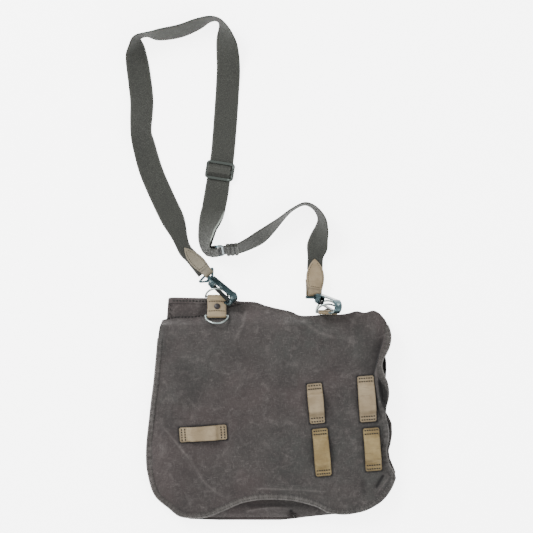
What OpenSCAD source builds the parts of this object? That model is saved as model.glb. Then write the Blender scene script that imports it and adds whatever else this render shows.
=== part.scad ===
// Canvas haversack with a flap, leather loops and a clip-on webbing shoulder strap.
// It lies flat on its back panel: +X to the right, +Y towards the mouth, +Z up. Millimetres.
// The origin is on the underside of the back panel, at the middle of the bag.

/* [Bag] */
// Half of the bag's width at mid height
bag_half = 163; // [150:1:180]
// Height of the mouth end of the gusset, from the middle of the bag
mouth_y = 98; // [92:1:100]
// Height of the closed compartment at its rim
rim_h = 8; // [6:0.5:12]
// How far the front panel bulges above its rim
bulge = 12; // [8:0.5:16]
// Thickness of one layer of canvas
canvas = 1.6; // [1.2:0.1:2]
// Space between the flap and the front panel
layer_gap = 3; // [2.8:0.1:4]

/* [Flap] */
// Where the flap bends when it opens
hinge_y = 110; // [108:0.5:112]
// Height of the bend line
hinge_z = 20; // [20:0.5:22]
// Width of the bound edge
binding_w = 9; // [7:0.5:11]

/* [Leather] */
// Width of the leather loops
loop_w = 22; // [20:0.5:24]
// Thickness of the leather
leather = 2; // [1.5:0.1:2.5]
// How far a loop stands off the flap
loop_rise = 5.6; // [5:0.1:7]
// Width of the tabs that hold the D-rings
tab_w = 26.5; // [24:0.5:27]

/* [Rings] */
// Outer width of a D-ring
ring_w = 33; // [33:0.5:36]
// Diameter of the D-ring wire
ring_wire = 2.7; // [2.4:0.1:3]

/* [Strap] */
// Width of the webbing
web_w = 32; // [30:0.5:34]
// Thickness of the webbing
web_t = 1.8; // [1.4:0.1:2.2]
// Outer length of the slider along the strap
slider_l = 25; // [24:0.5:28]

/* [Snap hook] */
// Length from the eye's bar to the nose
hook_l = 54; // [50:0.5:58]
// Width of the steel strip at the nose
nose_w = 12; // [10:0.5:13]
// Width of the steel strip along the back
back_w = 9; // [8:0.5:10]
// Thickness of the steel strip
strip_t = 1.8; // [1.5:0.1:2.2]

/* [Hidden] */
$fn = 32;

CANVAS = [0.36, 0.33, 0.31];
HEM = [0.31, 0.30, 0.27];
PALE_LEATHER = [0.66, 0.60, 0.49];
OCHRE_LEATHER = [0.55, 0.48, 0.30];
WEBBING = [0.38, 0.39, 0.35];
NICKEL = [0.80, 0.82, 0.80];
BLUED = [0.15, 0.21, 0.22];

// ---------------------------------------------------------------- outline of the bag

// Left and right edges of the bag at height y.
LEFT_EDGE = [[-153, -112], [-146, -126], [-134, -141], [-120, -156], [-100, -164], [-62, -168],
             [-20, -165], [35, -158], [118, -148], [150, -135]];
RIGHT_EDGE = [[-153, 60], [-140, 112], [-126, 146], [-105, 162], [-87, 166], [-34, 161], [20, 155],
              [53, 153], [103, 158], [120, 151], [130, 138]];
function left_edge(y) = lookup(y, LEFT_EDGE);
function right_edge(y) = lookup(y, RIGHT_EDGE);

// How far the closed bag has swollen at a point: 1 in the middle, 0 at the rim.
function swell(x, y) =
    let (u = min(1, abs(x) / bag_half), v = min(1, abs(y + 14) / 134))
    sqrt(1 - pow(u, 5)) * sqrt(1 - pow(v, 5));
function front_z(x, y) = rim_h + bulge * swell(x, y);
function flap_z(x, y) = front_z(x, y) + layer_gap + canvas;

// Lower edge of the flap, at a share u of its width from -1, left, to 1, right.
FLAP_END = [[-1, -96], [-0.97, -116], [-0.9, -130], [-0.8, -143], [-0.68, -148], [-0.52, -146],
            [-0.26, -128], [-0.07, -122], [0.17, -123], [0.36, -132], [0.46, -140], [0.6, -142],
            [0.77, -137], [0.9, -126], [0.97, -108], [1, -92]];
// Seam between the flap and the collar, along the width of the bag.
SEAM = [[-150, 118], [-90, 128], [-28, 141], [0, 136], [28, 129], [54, 124], [100, 125], [140, 130],
        [152, 119]];

// A thin closed sheet. top(u, v) gives its upper surface for u and v from 0 to 1.
module sheet(top, thick, nu, nv) {
    rows = [for (j = [0:nv]) [for (i = [0:nu]) top(i / nu, j / nv)]];
    n = (nu + 1) * (nv + 1);
    upper = [for (row = rows) for (p = row) p];
    lower = [for (row = rows) for (p = row) p - [0, 0, thick]];
    function at(i, j) = j * (nu + 1) + i;
    faces = [
        for (j = [0:nv - 1]) for (i = [0:nu - 1]) each [
            [at(i, j), at(i + 1, j), at(i, j + 1)],
            [at(i + 1, j), at(i + 1, j + 1), at(i, j + 1)],
            [n + at(i, j), n + at(i, j + 1), n + at(i + 1, j)],
            [n + at(i + 1, j), n + at(i, j + 1), n + at(i + 1, j + 1)]],
        for (i = [0:nu - 1]) each [
            [at(i, 0), n + at(i, 0), at(i + 1, 0)],
            [at(i + 1, 0), n + at(i, 0), n + at(i + 1, 0)],
            [at(i, nv), at(i + 1, nv), n + at(i, nv)],
            [at(i + 1, nv), n + at(i + 1, nv), n + at(i, nv)]],
        for (j = [0:nv - 1]) each [
            [at(0, j), at(0, j + 1), n + at(0, j)],
            [at(0, j + 1), n + at(0, j + 1), n + at(0, j)],
            [at(nu, j), n + at(nu, j), at(nu, j + 1)],
            [at(nu, j + 1), n + at(nu, j), n + at(nu, j + 1)]]];
    polyhedron(points = concat(upper, lower), faces = faces, convexity = 6);
}

// ---------------------------------------------------------------- bag shell

module outline(inset, top_y) {
    low = -151 + inset;
    heights = [for (k = [0:14]) low + (top_y - low) * k / 14];
    polygon(concat([for (y = heights) [right_edge(y) - inset, y]],
                   [for (k = [0:14]) [left_edge(heights[14 - k]) + inset, heights[14 - k]]]));
}

module back_panel() {
    color(CANVAS) linear_extrude(canvas) outline(4, 112);
}

// Upper part of the back panel. Its right half has turned up on edge.
module collar() {
    color(CANVAS) {
        translate([0, 0, 0.2]) linear_extrude(canvas)
            polygon([[-139, 112.4], [-135, 148], [-60, 147], [-10, 140], [24, 131], [50, 119.8],
                     [134, 119.8], [134, 112.4]]);
        translate([50, 118, 0.2]) cube([84, canvas, 12]);
    }
}

module collar_hem() {
    color(HEM) translate([0, 0, canvas + 0.4]) linear_extrude(canvas)
        polygon([[-136, 139], [-134, 147.5], [-94, 147], [-54, 146.5], [-12, 139.5], [20, 131],
                 [14, 126], [-20, 132], [-58, 138]]);
}

module gusset() {
    color(CANVAS) translate([0, 0, canvas + 0.2]) linear_extrude(rim_h - 2 * canvas - 0.8) difference() {
        outline(5, mouth_y);
        difference() {
            outline(5 + 2 * canvas, mouth_y + 10);
            translate([-200, mouth_y + 20]) square([400, 50]);
        }
    }
}

function front_point(u, v) =
    let (y = mouth_y - v * (mouth_y + 148), x0 = left_edge(y) + 5, x1 = right_edge(y) - 5,
         x = x0 + u * (x1 - x0))
    [x, y, front_z(x, y)];
module front_panel() {
    color(CANVAS) sheet(function(u, v) front_point(u, v), canvas, 18, 14);
}

module mouth_hem() {
    color(HEM) sheet(function(u, v)
        let (x = -138 + 276 * u, y = mouth_y - 1 - 13 * v) [x, y, front_z(x, y) - canvas - 0.9],
        canvas, 16, 2);
}

// ---------------------------------------------------------------- flap

function seam_point(x) = lookup(x, SEAM);
function root_point(u, v) =
    let (x0 = lookup(v, [[0, left_edge(hinge_y)], [1, -147]]), x1 = right_edge(hinge_y) - 6 * v,
         x = x0 + u * (x1 - x0), y = hinge_y + 0.5 + v * (seam_point(x) - hinge_y - 0.5),
         fall = v * v * (3 - 2 * v), low = x < 28 ? 5.8 : 5.8 + min(1, (x - 28) / 26) * 11)
    [x, y, flap_z(x, hinge_y) * (1 - fall) + low * fall];
module flap_root() {
    color(CANVAS) sheet(function(u, v) root_point(u, 1 - v), canvas, 20, 5);
}

function flap_point(u, v) =
    let (s = 2 * u - 1, end_y = lookup(s, FLAP_END),
         y = (hinge_y - 0.5) + v * (end_y - hinge_y + 0.5),
         x = left_edge(y) * (1 - u) + right_edge(y) * u)
    [x, y, flap_z(x, y)];
module flap() {
    color(CANVAS) sheet(function(u, v) flap_point(u, v), canvas, 24, 16);
}

// Tape that binds the flap's free edge: a flat band just above the cloth.
module flap_binding() {
    color(HEM) {
        sheet(function(u, v)
            let (a = flap_point(0, v), w = binding_w * u)
            [a[0] + w, a[1], flap_z(a[0] + w, a[1]) + 1.5], 0.9, 1, 12);
        sheet(function(u, v)
            let (a = flap_point(1, v), w = binding_w * (1 - u))
            [a[0] - w, a[1], flap_z(a[0] - w, a[1]) + 1.5], 0.9, 1, 12);
        sheet(function(u, v)
            let (a = flap_point(0.04 + 0.92 * u, 1), w = binding_w * (1 - v) * 1.05)
            [a[0], a[1] + w, flap_z(a[0], a[1] + w) + 1.5], 0.9, 24, 1);
    }
}

// A strip sewn down at both ends and standing proud between them, drawn along Y.
module bridge(length, width, rise) {
    half = length / 2;
    foot = 9;
    rising = foot + 5;
    rotate([90, 0, 90]) translate([0, 0, -width / 2]) linear_extrude(width)
        polygon([[-half, 0], [-half, leather], [-half + foot, leather + 0.2],
                 [-half + rising, rise + leather], [half - rising, rise + leather],
                 [half - foot, leather + 0.2], [half, leather], [half, 0], [half - foot, 0],
                 [half - rising, rise], [-half + rising, rise], [-half + foot, 0]]);
}

// A loop that lies on the flap at [x, y], turned by angle.
module flap_loop(x, y, angle, length, tint) {
    high = max(flap_z(x - 14, y - 24), flap_z(x + 14, y + 24), flap_z(x - 14, y + 24),
               flap_z(x + 14, y - 24), flap_z(x, y));
    color(tint) translate([x, y, high + 0.4]) rotate([0, 0, angle])
        bridge(length, loop_w, loop_rise);
}
module loop_upper_inner() { flap_loop(58.9, 6.5, 5, 54, PALE_LEATHER); }
module loop_upper_outer() { flap_loop(127.5, 12.5, 4, 62, PALE_LEATHER); }
module loop_lower_inner() { flap_loop(66.8, -59, 5, 64, OCHRE_LEATHER); }
module loop_lower_outer() { flap_loop(135, -55.5, 4, 58, OCHRE_LEATHER); }
module loop_side() { flap_loop(-92.5, -34, -86, 64, PALE_LEATHER); }

// Closing tab under the flap, with a hole that slips over the stud on the front panel.
CLOSE_X = -120;
CLOSE_TOP = 6;
STUD_Y = -30;
STUD_D = 9;
module closing_tab() {
    color(PALE_LEATHER) difference() {
        sheet(function(u, v)
            let (x = CLOSE_X - 10 + 20 * u, y = CLOSE_TOP - 46 * v)
            [x, y, flap_z(x, y) - canvas - 0.35], 1.3, 3, 6);
        translate([CLOSE_X, STUD_Y, 0]) cylinder(d = STUD_D + 2, h = 40);
    }
}
module closing_stud() {
    color([0.16, 0.12, 0.10]) translate([CLOSE_X, STUD_Y, front_z(CLOSE_X, STUD_Y)]) {
        translate([0, 0, 0.5]) cylinder(d = STUD_D, h = 1.5);
        translate([0, 0, -canvas - 0.4]) cylinder(d = 3, h = canvas + 1);
        translate([0, 0, -canvas - 1.4]) cylinder(d = 7, h = 1);
    }
}

// ---------------------------------------------------------------- swept strips

function unit(v) = v / norm(v);
function smooth_at(p, i, t) =
    let (n = len(p), a = p[max(0, i - 1)], b = p[i], c = p[min(n - 1, i + 1)], d = p[min(n - 1, i + 2)])
    0.5 * (2 * b + (c - a) * t + (2 * a - 5 * b + 4 * c - d) * t * t
           + (3 * b - a - 3 * c + d) * t * t * t);
function smooth_route(p, steps) =
    [for (i = [0:len(p) - 2]) for (k = [0:steps - 1]) smooth_at(p, i, k / steps), p[len(p) - 1]];

// A flat strip along a route of [x, y, z, roll]: roll turns its width out of the level, and
// shift moves it off the route along its own face.
module strip(route, width, thick, steps = 3, shift = 0) {
    q = smooth_route(route, steps);
    n = len(q);
    mid = [for (p = q) [p[0], p[1], p[2]]];
    run = [for (i = [0:n - 1]) unit(mid[min(n - 1, i + 1)] - mid[max(0, i - 1)])];
    function across(i) =
        let (level = unit(cross([0, 0, 1], run[i])), up = cross(run[i], level), r = q[i][3])
        level * cos(r) + up * sin(r);
    function ring(i) =
        let (a = across(i) * width / 2, face = cross(run[i], across(i)), b = face * thick / 2,
             c = mid[i] + face * shift)
        [c + a + b, c - a + b, c - a - b, c + a - b];
    points = [for (i = [0:n - 1]) each ring(i)];
    faces = [
        [0, 1, 2, 3],
        for (i = [0:n - 2]) for (k = [0:3]) each
            let (a = 4 * i + k, b = 4 * i + (k + 1) % 4)
            [[a, a + 4, b], [b, a + 4, b + 4]],
        [for (k = [3:-1:0]) 4 * (n - 1) + k]];
    polyhedron(points = points, faces = faces, convexity = 8);
}

// Height of the middle of a strip that lies on the ground with the given roll.
function lie(roll, lift = 0) = lift + abs(sin(roll)) * web_w / 2 + abs(cos(roll)) * web_t / 2 + 0.3;

LONG_ROUTE = [
    [-108, 202, lie(0, 2), 0], [-119, 215, lie(0), 0], [-131, 247, lie(0), 0], [-147, 281, lie(0), 0],
    [-163, 318, lie(4), 4], [-173, 353, lie(18), 18], [-177, 374, lie(30), 30], [-176, 411, lie(14), 14],
    [-178, 434, lie(8), 8], [-181, 457, lie(14), 14], [-184, 480, lie(34), 34],
    [-183, 497, lie(74), 74], [-170, 503, lie(84), 84], [-152, 503, lie(66), 66],
    [-124, 508, lie(62), 62], [-101, 517, lie(66), 66], [-84, 524, lie(80), 80],
    [-71, 522, lie(84), 84], [-64, 508, lie(58), 58], [-61, 490, lie(26), 26],
    [-59, 462, lie(6), 6], [-60, 434, lie(0), 0], [-63, 388, lie(0), 0], [-67, 341, lie(0), 0],
    [-72, 310, lie(0), 0], [-75, 292, lie(0, 2.3), 0], [-79, 268, lie(0, 2.6), 0]];
// Below the slider the webbing lies double, and both layers turn on edge towards the ring.
LAYER_SHIFT = 1.3;
DOUBLE_ROUTE = [[-79, 268, lie(0, 1.3), 0], [-83.5, 252, lie(26, 1.5), 26], [-87, 240, lie(44, 1.5), 44],
                [-88.6, 229, lie(52, 1.7), 52], [-88.4, 219.5, lie(62, 2), 62],
                [-86.2, 213, lie(67, 2.3), 67], [-82.4, 210.5, lie(70, 2.5), 70],
                [-78.2, 210.7, lie(70, 2.6), 70]];
RETURN_ROUTE = [[-72, 304, lie(0), 0], [-75.5, 286, lie(0), 0], [-79, 268, lie(0), 0]];
SHORT_ROUTE = [
    [-63.6, 212.8, lie(69, 2.6), 69], [-54, 213.4, lie(66, 2), 66], [-45, 215, lie(63, 1), 63],
    [-30.6, 221.4, lie(58), 58], [-16, 230, lie(54), 54], [-1.4, 242, lie(64), 64],
    [12, 254, lie(76), 76], [27, 267, lie(84), 84],
    [44, 275, lie(84), 84], [58, 269, lie(80), 80], [67, 255, lie(70), 70],
    [67, 240, lie(52), 52], [63, 225, lie(30), 30], [59, 205, lie(10), 10], [58, 186, lie(4, 2), 4]];

module long_strap() {
    color(WEBBING) {
        strip(LONG_ROUTE, web_w, web_t, 2);
        strip(DOUBLE_ROUTE, web_w, web_t, 2, LAYER_SHIFT);
        strip(DOUBLE_ROUTE, web_w, web_t, 2, -LAYER_SHIFT);
        strip(RETURN_ROUTE, web_w, web_t, 2);
    }
}
module short_strap() { color(WEBBING) strip(SHORT_ROUTE, web_w - 3, web_t, 2); }

// ---------------------------------------------------------------- leather on the strap

LEFT_END = [[-119, 216, 4.8, 0], [-109, 204, 5.6, 0], [-99.5, 192, 8.6, 0], [-90.5, 181, 11.8, 0]];
RIGHT_END = [[55.5, 200, 6.6, 6], [56.3, 186, 7.6, 12], [56.6, 171, 9.5, 22], [56.5, 155, 12.4, 32]];
module left_strap_end() { color(PALE_LEATHER) strip(LEFT_END, 25, 5, 4); }
module right_strap_end() { color(PALE_LEATHER) strip(RIGHT_END, 25, 5, 4); }

// ---------------------------------------------------------------- slider, ring and keeper

module round_frame(l, w, bar, h) {
    linear_extrude(h) difference() {
        offset(r = 5) square([l - 10, w - 10], center = true);
        offset(r = 1) square([l - 2 * bar - 2, w - 2 * bar - 2], center = true);
    }
}
SLIDER_AT = [-70.4, 320];
SLIDER_TURN = 81;
module at_slider() {
    translate([SLIDER_AT[0], SLIDER_AT[1], web_t + 0.7]) rotate([0, 0, SLIDER_TURN]) children();
}
module slider_frame() {
    color(BLUED) at_slider() {
        round_frame(slider_l, web_w + 7, 3.4, 2.2);
        translate([-1.6, -web_w / 2 - 2, 0]) cube([3.2, web_w + 4, 2.2]);
    }
}
module slider_wrap() {
    color(WEBBING) at_slider() translate([-6, -web_w / 2 + 1, 2.4]) cube([12, web_w - 2, web_t]);
}

// The ring and the keeper stand on edge, tilted about the way that the strap runs.
RING_AT = [-70.6, 211.6, 18.6];
RING_TURN = 8;
RING_TILT = 70;
module strap_ring() {
    color(BLUED) translate(RING_AT) rotate([0, 0, RING_TURN]) rotate([RING_TILT, 0, 0])
        translate([0, 0, -1.2]) round_frame(11, web_w + 6, 2.4, 2.4);
}
KEEPER_AT = [-53.5, 213.5, 16.8];
KEEPER_TURN = 5;
KEEPER_TILT = 66;
RIB_D = 3.6;
RIB_GAP = 5.4;
module keeper() {
    color(HEM) translate(KEEPER_AT) rotate([0, 0, KEEPER_TURN]) rotate([KEEPER_TILT, 0, 0]) {
        for (k = [-1:1]) translate([RIB_GAP * k, 0, 0]) rotate([90, 0, 0])
            cylinder(d = RIB_D, h = web_w - 6, center = true);
        cube([14, web_w - 4, 1.6], center = true);
    }
}

// ---------------------------------------------------------------- D-rings and their tabs

// A D-ring in the XY plane: its bar lies along X through the origin, its bow on the +Y side.
module d_ring() {
    r = (ring_w - ring_wire) / 2;
    color(NICKEL) {
        rotate([0, 90, 0]) cylinder(d = ring_wire, h = 2 * r, center = true);
        rotate_extrude(angle = 180) translate([r, 0]) circle(d = ring_wire);
        for (s = [-1, 1]) translate([s * r, 0, 0]) sphere(d = ring_wire);
    }
}

LEFT_HOOK_RING = [-74.5, 149.5, 7.4];
LEFT_SPARE_RING = [-74.5, 124, 15.2];
RIGHT_HOOK_RING = [75, 129, 29];
RIGHT_SPARE_RING = [75, 129, 3.4];
SPARE_RING_TILT = 50;
LEFT_RING_TILT = 42;
RIGHT_RING_TILT = 44;
module left_hook_ring() { translate(LEFT_HOOK_RING) rotate([LEFT_RING_TILT, 0, 0]) d_ring(); }
module left_spare_ring() { translate(LEFT_SPARE_RING) rotate([0, 0, 180]) rotate([SPARE_RING_TILT, 0, 0]) d_ring(); }
module right_hook_ring() { translate(RIGHT_HOOK_RING) rotate([RIGHT_RING_TILT, 0, 0]) d_ring(); }
module right_spare_ring() { translate(RIGHT_SPARE_RING) rotate([-3, 0, 0]) d_ring(); }

// A leather strap folded round the bars of two rings, as a closed band in the YZ plane.
module folded_tab(from, to, width) {
    run = norm(to - from);
    pitch = atan2(to[2] - from[2], to[1] - from[1]);
    hole = ring_wire + 0.16;
    color(PALE_LEATHER) translate(from) rotate([pitch, 0, 0]) difference() {
        rotate([90, 0, 90]) linear_extrude(width, center = true) hull() {
            circle(d = ring_wire + 3);
            translate([run, 0]) circle(d = ring_wire + 3);
        }
        for (y = [0, run]) translate([0, y, 0]) rotate([0, 90, 0]) cylinder(d = hole, h = 60, center = true);
    }
}
module left_tab() { folded_tab(LEFT_SPARE_RING, LEFT_HOOK_RING, tab_w); }
module right_tab() { folded_tab(RIGHT_SPARE_RING, RIGHT_HOOK_RING, tab_w); }

module rivet(r, h) {
    color([0.16, 0.12, 0.10]) {
        cylinder(r = r, h = 0.9);
        translate([0, 0, 0.9]) intersection() {
            translate([0, 0, -r * 1.4]) sphere(r = r * 1.72);
            cylinder(r = r, h = 3);
        }
        translate([0, 0, -h]) cylinder(r = 1.4, h = h);
    }
}
module left_tab_rivet() {
    mid = (LEFT_SPARE_RING + LEFT_HOOK_RING) / 2;
    run = LEFT_HOOK_RING - LEFT_SPARE_RING;
    translate(mid + [0.5, 0, 2.9]) rotate([atan2(run[2], run[1]), 0, 0]) rivet(4.1, 5);
}
module right_tab_rivet() {
    mid = (RIGHT_SPARE_RING + RIGHT_HOOK_RING) / 2;
    translate(mid + [0, 2.9, 0]) rotate([-90, 0, 0]) rivet(4.1, 5);
}

// ---------------------------------------------------------------- snap hooks

// Each hook is drawn with its eye's bar at the origin and its nose along +X. Its strip runs from
// the base along the back on the +Y side, round the nose, and ends under the gate on the -Y side.
BASE_X = 10.6;
GATE_PIN = [16, -4.6];
NOSE_X = hook_l - 10;
NOSE_R = 9;
BACK_START = 4.6;

// A straight piece of the strip between two points, as seen from its edge.
module run(from, to) {
    d = to - from;
    translate(from) rotate(atan2(d[1], d[0])) translate([0, -strip_t / 2]) square([norm(d), strip_t]);
}
module nose_arc() {
    translate([NOSE_X, 0]) difference() {
        circle(r = NOSE_R + strip_t / 2);
        circle(r = NOSE_R - strip_t / 2);
        polygon([[0, 0], [4, 30], [-40, 30], [-40, -30], [-3, -30]]);
    }
}
module hook_body() {
    nose_top = [NOSE_X + NOSE_R * sin(7.6), NOSE_R * cos(7.6)];
    shoulder = [NOSE_X - 20, 6.4];
    color(BLUED) {
        linear_extrude(nose_w, center = true) nose_arc();
        linear_extrude(back_w, center = true) {
            run([BASE_X, -BACK_START - 0.9], [BASE_X, BACK_START]);
            run([BASE_X - 0.9, BACK_START], shoulder + [0.4, 0]);
            run(shoulder, nose_top);
        }
        difference() {
            for (s = [-1, 1]) translate([BASE_X, -6.8, s * (back_w / 2 - 0.5) - 0.6]) cube([8, 11, 1.2]);
            translate([GATE_PIN[0], GATE_PIN[1], 0]) cylinder(r = 1.05, h = 40, center = true);
        }
    }
}
module gate() {
    color([0.09, 0.12, 0.12]) difference() {
        union() {
            translate([GATE_PIN[0], GATE_PIN[1], 0]) cylinder(r = 2, h = back_w - 3, center = true);
            translate([GATE_PIN[0], GATE_PIN[1] - 1.9, -(back_w - 3) / 2])
                cube([NOSE_X - GATE_PIN[0] + 1.6, 1.4, back_w - 3]);
        }
        translate([GATE_PIN[0], GATE_PIN[1], 0]) cylinder(r = 1.05, h = 40, center = true);
    }
}
module gate_rivet() {
    color(BLUED) translate([GATE_PIN[0], GATE_PIN[1], 0]) {
        cylinder(r = 1, h = back_w + 0.4, center = true);
        for (s = [-1, 1]) translate([0, 0, s * (back_w / 2 + 0.6)]) cylinder(r = 2, h = 0.8, center = true);
    }
}
module gate_spring() {
    color(NICKEL) translate([BASE_X + 2.8, -2.2, -1.5]) cube([5, 0.5, 3]);
}
module swivel_rivet() {
    color(BLUED) rotate([0, 90, 0]) {
        translate([0, 0, 4.4]) cylinder(r = 2.8, h = 1.2);
        translate([0, 0, 5]) cylinder(r = SWIVEL_R, h = BASE_X - 3.9);
        translate([0, 0, BASE_X + strip_t / 2 + 0.1]) cylinder(r = 3, h = 1.2);
    }
}
// The eye: a stamped loop whose bar passes through the leather and whose boss takes the rivet.
SWIVEL_R = 1.9;
module eye() {
    color(BLUED) difference() {
        union() {
            linear_extrude(2.8, center = true) difference() {
                polygon([[-1.4, -12.6], [-0.6, -13.5], [1.6, -13.5], [9, -5.4], [9, 5.4], [1.6, 13.5],
                         [-0.6, 13.5], [-1.4, 12.6]]);
                polygon([[1.4, -10.6], [5.8, -4.6], [5.8, 4.6], [1.4, 10.6]]);
            }
            translate([6, -4, -3.4]) cube([3, 8, 6.8]);
        }
        rotate([0, 90, 0]) cylinder(r = SWIVEL_R + 0.08, h = 40);
    }
}

LEFT_EYE = [-89, 179, 12.5];
LEFT_AIM = [0, -11, -43.5];
LEFT_EYE_ROLL = 0;
LEFT_ROLL = 50;
RIGHT_EYE = [56, 152.5, 12.5];
RIGHT_AIM = [0, -46, -30];
RIGHT_EYE_ROLL = -51;
RIGHT_ROLL = 22;
module left_hook(roll) { translate(LEFT_EYE) rotate(LEFT_AIM) rotate([roll, 0, 0]) children(); }
module right_hook(roll) { translate(RIGHT_EYE) rotate(RIGHT_AIM) rotate([roll, 0, 0]) children(); }
module left_eye() { left_hook(LEFT_EYE_ROLL) eye(); }
module left_swivel_rivet() { left_hook(LEFT_ROLL) swivel_rivet(); }
module left_hook_body() { left_hook(LEFT_ROLL) hook_body(); }
module left_gate() { left_hook(LEFT_ROLL) gate(); }
module left_gate_rivet() { left_hook(LEFT_ROLL) gate_rivet(); }
module left_gate_spring() { left_hook(LEFT_ROLL) gate_spring(); }
module right_eye() { right_hook(RIGHT_EYE_ROLL) eye(); }
module right_swivel_rivet() { right_hook(RIGHT_ROLL) swivel_rivet(); }
module right_hook_body() { right_hook(RIGHT_ROLL) hook_body(); }
module right_gate() { right_hook(RIGHT_ROLL) gate(); }
module right_gate_rivet() { right_hook(RIGHT_ROLL) gate_rivet(); }
module right_gate_spring() { right_hook(RIGHT_ROLL) gate_spring(); }

back_panel();
collar();
collar_hem();
gusset();
front_panel();
mouth_hem();
closing_stud();
flap_root();
flap();
flap_binding();
closing_tab();
loop_upper_inner();
loop_upper_outer();
loop_lower_inner();
loop_lower_outer();
loop_side();
left_tab();
left_tab_rivet();
left_hook_ring();
left_spare_ring();
right_tab();
right_tab_rivet();
right_hook_ring();
right_spare_ring();
long_strap();
short_strap();
left_strap_end();
right_strap_end();
slider_frame();
slider_wrap();
strap_ring();
keeper();
left_eye();
left_swivel_rivet();
left_hook_body();
left_gate();
left_gate_rivet();
left_gate_spring();
right_eye();
right_swivel_rivet();
right_hook_body();
right_gate();
right_gate_rivet();
right_gate_spring();
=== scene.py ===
"""Canvas haversack with leather loops and a clip-on webbing strap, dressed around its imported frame."""
import math

import bmesh
import bpy
import numpy as np
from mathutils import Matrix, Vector, noise


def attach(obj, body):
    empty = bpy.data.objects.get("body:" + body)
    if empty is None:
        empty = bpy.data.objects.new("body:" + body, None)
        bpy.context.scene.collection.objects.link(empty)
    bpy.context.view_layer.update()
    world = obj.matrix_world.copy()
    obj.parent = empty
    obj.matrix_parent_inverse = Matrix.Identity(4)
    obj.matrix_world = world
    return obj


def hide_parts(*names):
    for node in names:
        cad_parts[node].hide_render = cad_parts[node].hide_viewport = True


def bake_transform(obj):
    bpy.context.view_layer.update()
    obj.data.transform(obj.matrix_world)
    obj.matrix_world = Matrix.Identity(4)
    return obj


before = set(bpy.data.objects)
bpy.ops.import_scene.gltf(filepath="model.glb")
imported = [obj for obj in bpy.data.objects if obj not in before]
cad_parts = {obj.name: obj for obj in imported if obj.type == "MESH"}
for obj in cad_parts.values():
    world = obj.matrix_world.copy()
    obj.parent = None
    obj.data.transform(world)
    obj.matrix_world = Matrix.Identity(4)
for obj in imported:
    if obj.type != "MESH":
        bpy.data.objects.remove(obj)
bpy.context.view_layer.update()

MM = 0.001
CANVAS_T = 1.5          # thickness of one layer of canvas, mm
WEB_W = 32.0            # width of the webbing, mm
WEB_T = 1.8             # thickness of the webbing, mm
LEATHER_T = 2.0         # thickness of the leather, mm
HINGE_Y = 110.0         # where the flap bends, mm


# ------------------------------------------------------------------ small geometry tools

def distances(line):
    """How far each point of a line lies along it."""
    return np.concatenate([[0], np.cumsum(np.linalg.norm(np.diff(line, axis=0), axis=1))])


def smooth_line(points, count):
    """Catmull-Rom curve through points, as count samples evenly spaced along it."""
    p = np.asarray(points, float)
    ext = np.vstack([2 * p[:1] - p[1:2], p, 2 * p[-1:] - p[-2:-1]])
    dense = []
    for i in range(len(ext) - 3):
        a, b, c, d = ext[i:i + 4]
        for t in np.linspace(0, 1, 24, endpoint=False):
            dense.append(0.5 * (2 * b + (c - a) * t + (2 * a - 5 * b + 4 * c - d) * t * t
                                + (3 * b - a - 3 * c + d) * t ** 3))
    dense.append(ext[-2])
    dense = np.array(dense)
    run = distances(dense)
    at = np.linspace(0, run[-1], count)
    return np.stack([np.interp(at, run, dense[:, k]) for k in range(dense.shape[1])], axis=1)


def unit(v):
    """Vectors made one long."""
    v = np.asarray(v, float)
    return v / np.maximum(np.linalg.norm(v, axis=-1, keepdims=True), 1e-9)


def fade(x):
    """Smooth step from 0 to 1 as x goes from 0 to 1."""
    x = np.clip(x, 0, 1)
    return x * x * (3 - 2 * x)


def cloth_noise(x, y, scale, seed=0.0):
    """Smooth noise from about -1 to 1 over arrays of millimetre places."""
    places = zip(np.ravel(x), np.ravel(y))
    flat = [noise.noise(Vector((a / scale, b / scale, seed))) for a, b in places]
    return np.reshape(flat, np.shape(x)) * 1.6


def near_line(x, y, line):
    """Distance from each place to a polyline, and how far along it the nearest point is, 0 to 1."""
    line = np.asarray(line, float)
    best = np.full(np.shape(x), 1e9)
    share = np.zeros(np.shape(x))
    lengths = np.linalg.norm(np.diff(line, axis=0), axis=1)
    total = lengths.sum()
    before = 0.0
    for a, b, length in zip(line[:-1], line[1:], lengths):
        d = (b - a) / max(length, 1e-9)
        t = np.clip((x - a[0]) * d[0] + (y - a[1]) * d[1], 0, length)
        dist = np.hypot(x - a[0] - t * d[0], y - a[1] - t * d[1])
        closer = dist < best
        best = np.where(closer, dist, best)
        share = np.where(closer, (before + t) / total, share)
        before += length
    return best, share


def stroke(x, y, line, width, taper=True):
    """A soft stroke of height 1 along a line, fading out to its sides and at its ends."""
    d, share = near_line(x, y, smooth_line(line, 24))
    out = np.exp(-(d / width) ** 2)
    if taper:
        out = out * fade(np.minimum(share, 1 - share) * 5 + 0.05)
    return out


# ------------------------------------------------------------------ building pieces

def put_in_scene(obj):
    bpy.context.scene.collection.objects.link(obj)
    return obj


def make_object(name, verts, faces, material, body=None, marks=None):
    """A smooth mesh object from millimetre vertices, riding on a body, with float marks per vertex."""
    mesh = bpy.data.meshes.new(name)
    places = (np.asarray(verts, float) * MM).tolist()
    mesh.from_pydata(places, [], [tuple(int(i) for i in f) for f in faces])
    mesh.validate()
    mesh.polygons.foreach_set("use_smooth", [True] * len(mesh.polygons))
    for key, values in (marks or {}).items():
        layer = mesh.attributes.new(key, "FLOAT", "POINT")
        layer.data.foreach_set("value", np.asarray(values, np.float32).ravel())
    mesh.update()
    obj = put_in_scene(bpy.data.objects.new(name, mesh))
    mesh.materials.append(material)
    if body:
        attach(obj, body)
    return obj


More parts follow.
